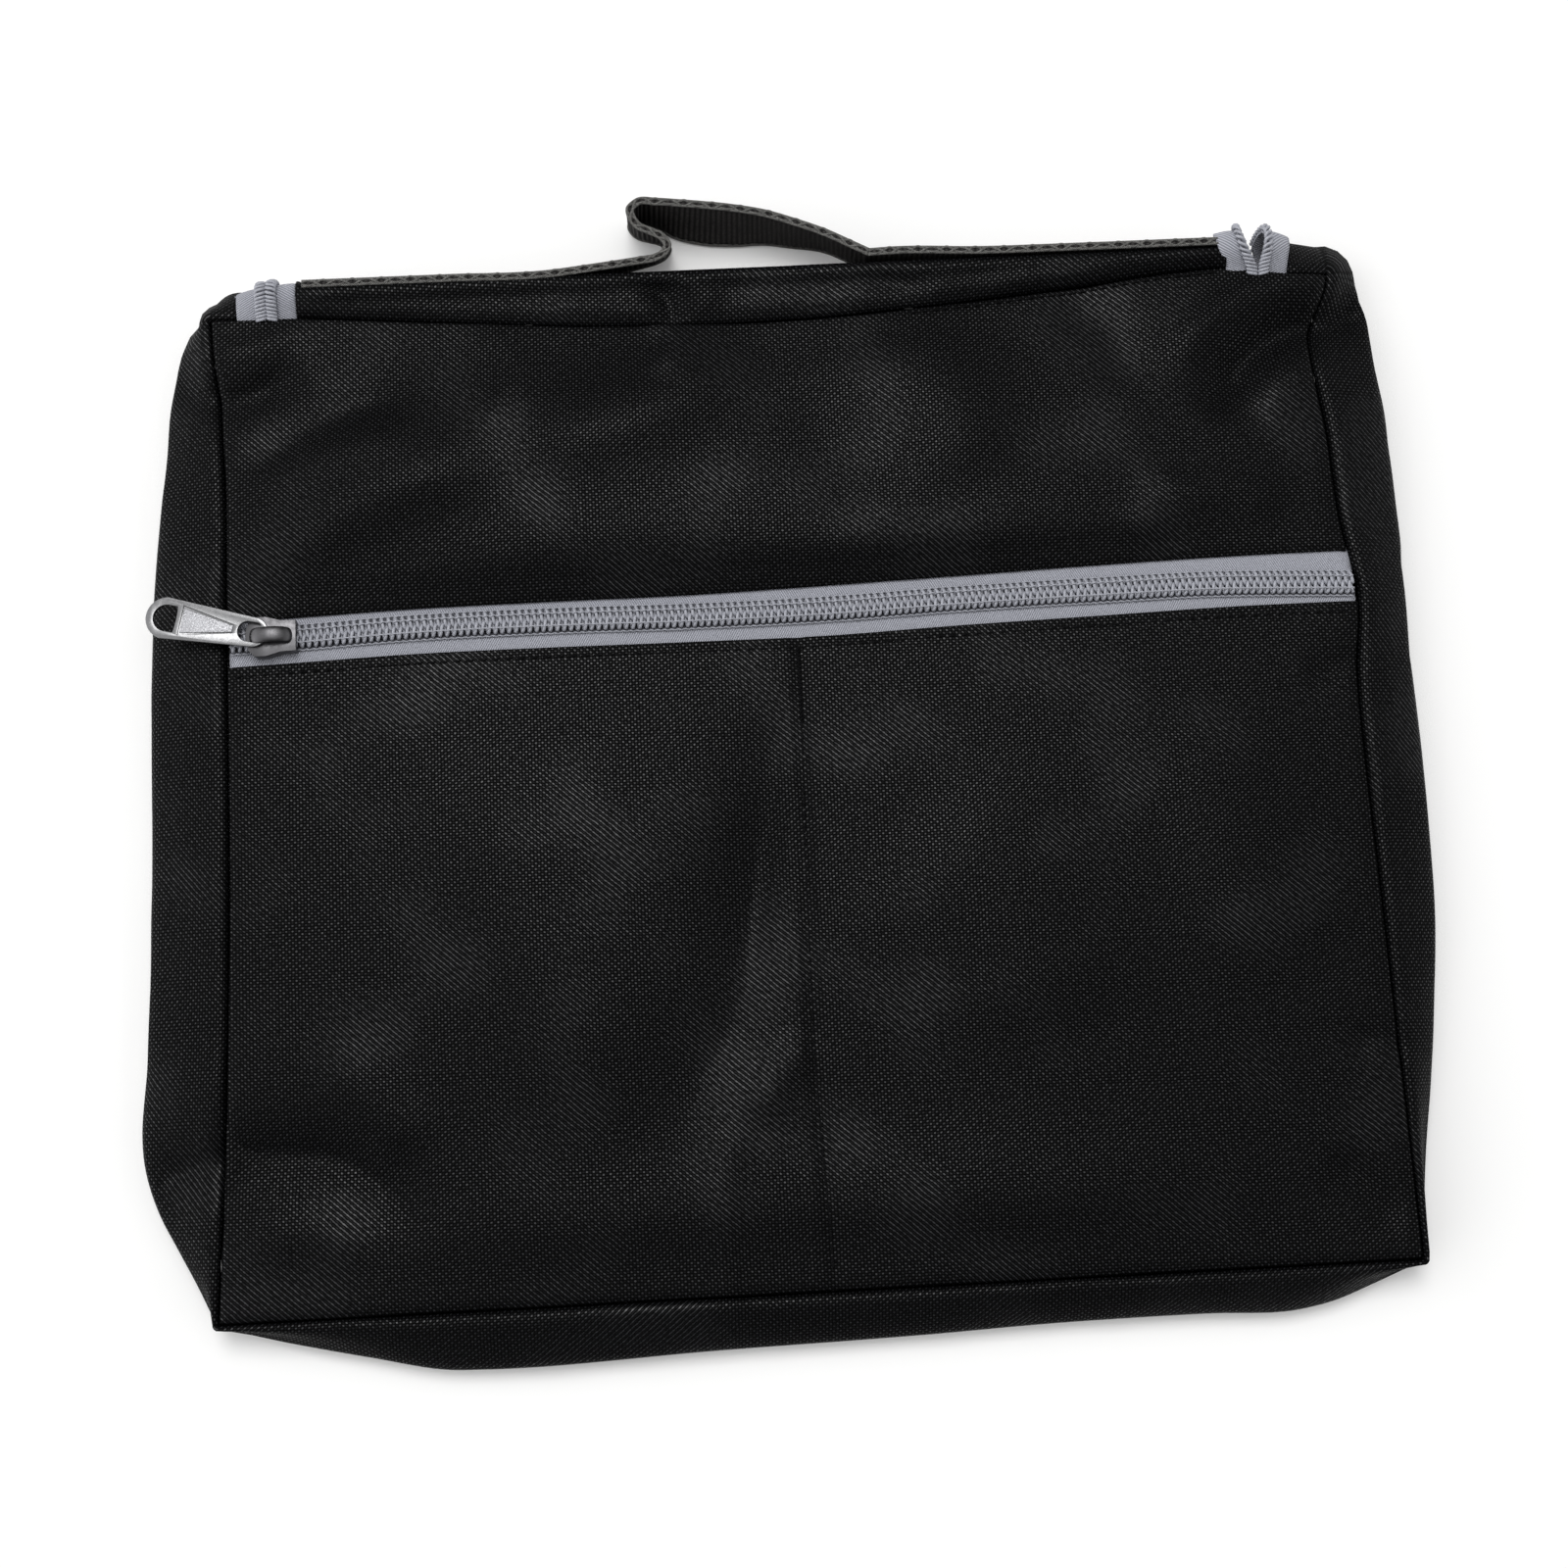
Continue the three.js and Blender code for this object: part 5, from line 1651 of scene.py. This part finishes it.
slider_finish = make_metal(
    "dark nickel", (0.10, 0.098, 0.102, 1), rough_low=0.28, rough_high=0.42, grain=900,
    depth=0.00001)
puller_finish = make_metal(
    "bright nickel", (0.2, 0.2, 0.203, 1), rough_low=0.2, rough_high=0.34, grain=1100,
    depth=0.00001)
field_finish = make_metal(
    "grainy nickel", (0.4, 0.4, 0.415, 1), rough_low=0.3, rough_high=0.5, grain=2300,
    depth=0.00022)
print("metal finishes ready")
slider_shape.data.materials.append(slider_finish)
puller_rim.data.materials.append(puller_finish)
puller_field.data.materials.append(field_finish)
puller_shape = join_pieces("puller_shape", [puller_rim, puller_field])

# %% [markdown]
# The same shapes serve the pocket's slider and the back zip's slider, which is parked face
# down near the left end. Each copy gets its own mesh at its own place.


# %% Place the sliders and pullers
def turned(degrees, axis):
    return Matrix.Rotation(math.radians(degrees), 4, axis)


def place_copy(shape, name, point, turn, body, node):
    copy = shape.copy()
    copy.data = shape.data.copy()
    copy.name = name
    copy.data.transform(Matrix.Translation(in_part(point)) @ turn)
    show(copy)
    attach(copy, body)
    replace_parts(copy, node)
    print(name, "rides on", body)


POCKET_PARKED = 14.8
MAIN_PARKED = 43.75
slider_x = -HALF_WIDTH + POCKET_PARKED
slider_y = pocket_zip(slider_x)
main_y = HALF_HEIGHT - MAIN_PARKED
place_copy(slider_shape, "pocket_slider_shell", (slider_x, slider_y, TAPE_FACE), turned(180, "Z"),
           "pocket_slider", "pocket_slider_body")
place_copy(puller_shape, "pocket_puller_tab", (slider_x - 1.3, slider_y + 0.3, 15.6),
           turned(167, "Z") @ turned(3.5, "Y"), "pocket_puller", "pocket_puller")
place_copy(slider_shape, "main_slider_shell", (-ZIP_LEFT, main_y, CHANNEL_LEFT),
           turned(-90, "Z") @ turned(180, "X"), "main_slider", "main_slider_body")
place_copy(puller_shape, "main_puller_tab", (-ZIP_LEFT, main_y, 1.925),
           turned(90, "Z") @ turned(180, "X"), "main_puller", "main_puller")
for shape in (slider_shape, puller_shape):
    bpy.data.objects.remove(shape, do_unlink=True)

# %% [markdown]
# ## Stitches
#
# Each stitch is one short arched tube of thread that dives into the cloth at both ends.
# A row takes the surface's own height, so that it lies in the channel pressed for it.


# %% Stitch rows
ARCH = np.array([-0.25, 0.08, 0.16, 0.08, -0.25])
STITCH_SIDEWAYS = (-0.87, 0.31, 0)


def stitch_row(name, line, length, gap, radius):
    run = run_length(line)
    paths = []
    for i in range(int(run[-1] / (length + gap))):
        at = i * (length + gap) + gap / 2 + np.linspace(0, length, len(ARCH))
        paths.append(along_line(line, run, at) + ARCH[:, None] * np.array([0, 0, 1]))
    return tubes_piece(
        name, paths, radius, THREAD_SIDES, STITCH_SIDEWAYS, thread_finish, "pouch")


# %% Rows on the front
x = steps(34, 112, 1)
y = top_seam(x) - 1.5
z = DEPTH + puff(0.5 + x / (2 * HALF_WIDTH), 0.02, 1.8) + front_relief(x, y) + 0.05
stitch_row("top_seam_stitch", np.stack([x, y, z], -1), length=1.9, gap=0.8, radius=0.24)
x = steps(left_seam(30) + 1.5, right_seam(30) - 1.5, 1)
y = pocket_edge(x) - EDGE_STITCH_DROP
stitch_row(
    "pocket_edge_stitch", np.stack([x, y, pocket_height(x, y) + 0.1], -1),
    length=2.2, gap=0.9, radius=0.3)
y = steps(pocket_edge(np.array(DIVIDER_X)) - 0.6, -HALF_HEIGHT + 4, 1)
x = divider_line(y)
divider_stitch = stitch_row(
    "divider_stitch", np.stack([x, y, pocket_height(x, y) + 0.15], -1),
    length=2.3, gap=0.9, radius=0.34)
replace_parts(divider_stitch, "pocket_divider_stitch")
TACK_POINTS = 40
TACK_SWAY = 0.55
y = np.linspace(32, 13, TACK_POINTS)
x = divider_line(y) + TACK_SWAY * np.where(np.arange(TACK_POINTS) % 2, 1, -1)
stitch_row(
    "divider_top_tack", np.stack([x, y, pocket_height(x, y) + 0.25], -1),
    length=1.1, gap=0.1, radius=0.24)

# %% [markdown]
# ## Floor
#
# The pouch lies on a plain white table. It isn't part of the object.

# %% Floor
FLOOR_DROP = 0.0002
FLOOR_GLOW = 0.1
bpy.ops.mesh.primitive_plane_add(size=6, location=(0, 0, -FLOOR_DROP))
floor = bpy.context.active_object
floor.name = "floor"
floor_finish, floor_tree, floor_shader = new_material(
    "white table", Base_Color=(0.93, 0.925, 0.915, 1), Roughness=0.9, Specular_IOR_Level=0.2,
    Emission_Color=(1, 0.995, 0.985, 1))
seen = add_node(floor_tree, "ShaderNodeLightPath").outputs["Is Camera Ray"]
floor_tree.links.new(
    math_node(floor_tree, "MULTIPLY", seen, FLOOR_GLOW), floor_shader.inputs["Emission Strength"])
floor.data.materials.append(floor_finish)
print("floor", FLOOR_DROP / MM, "mm below the pouch")
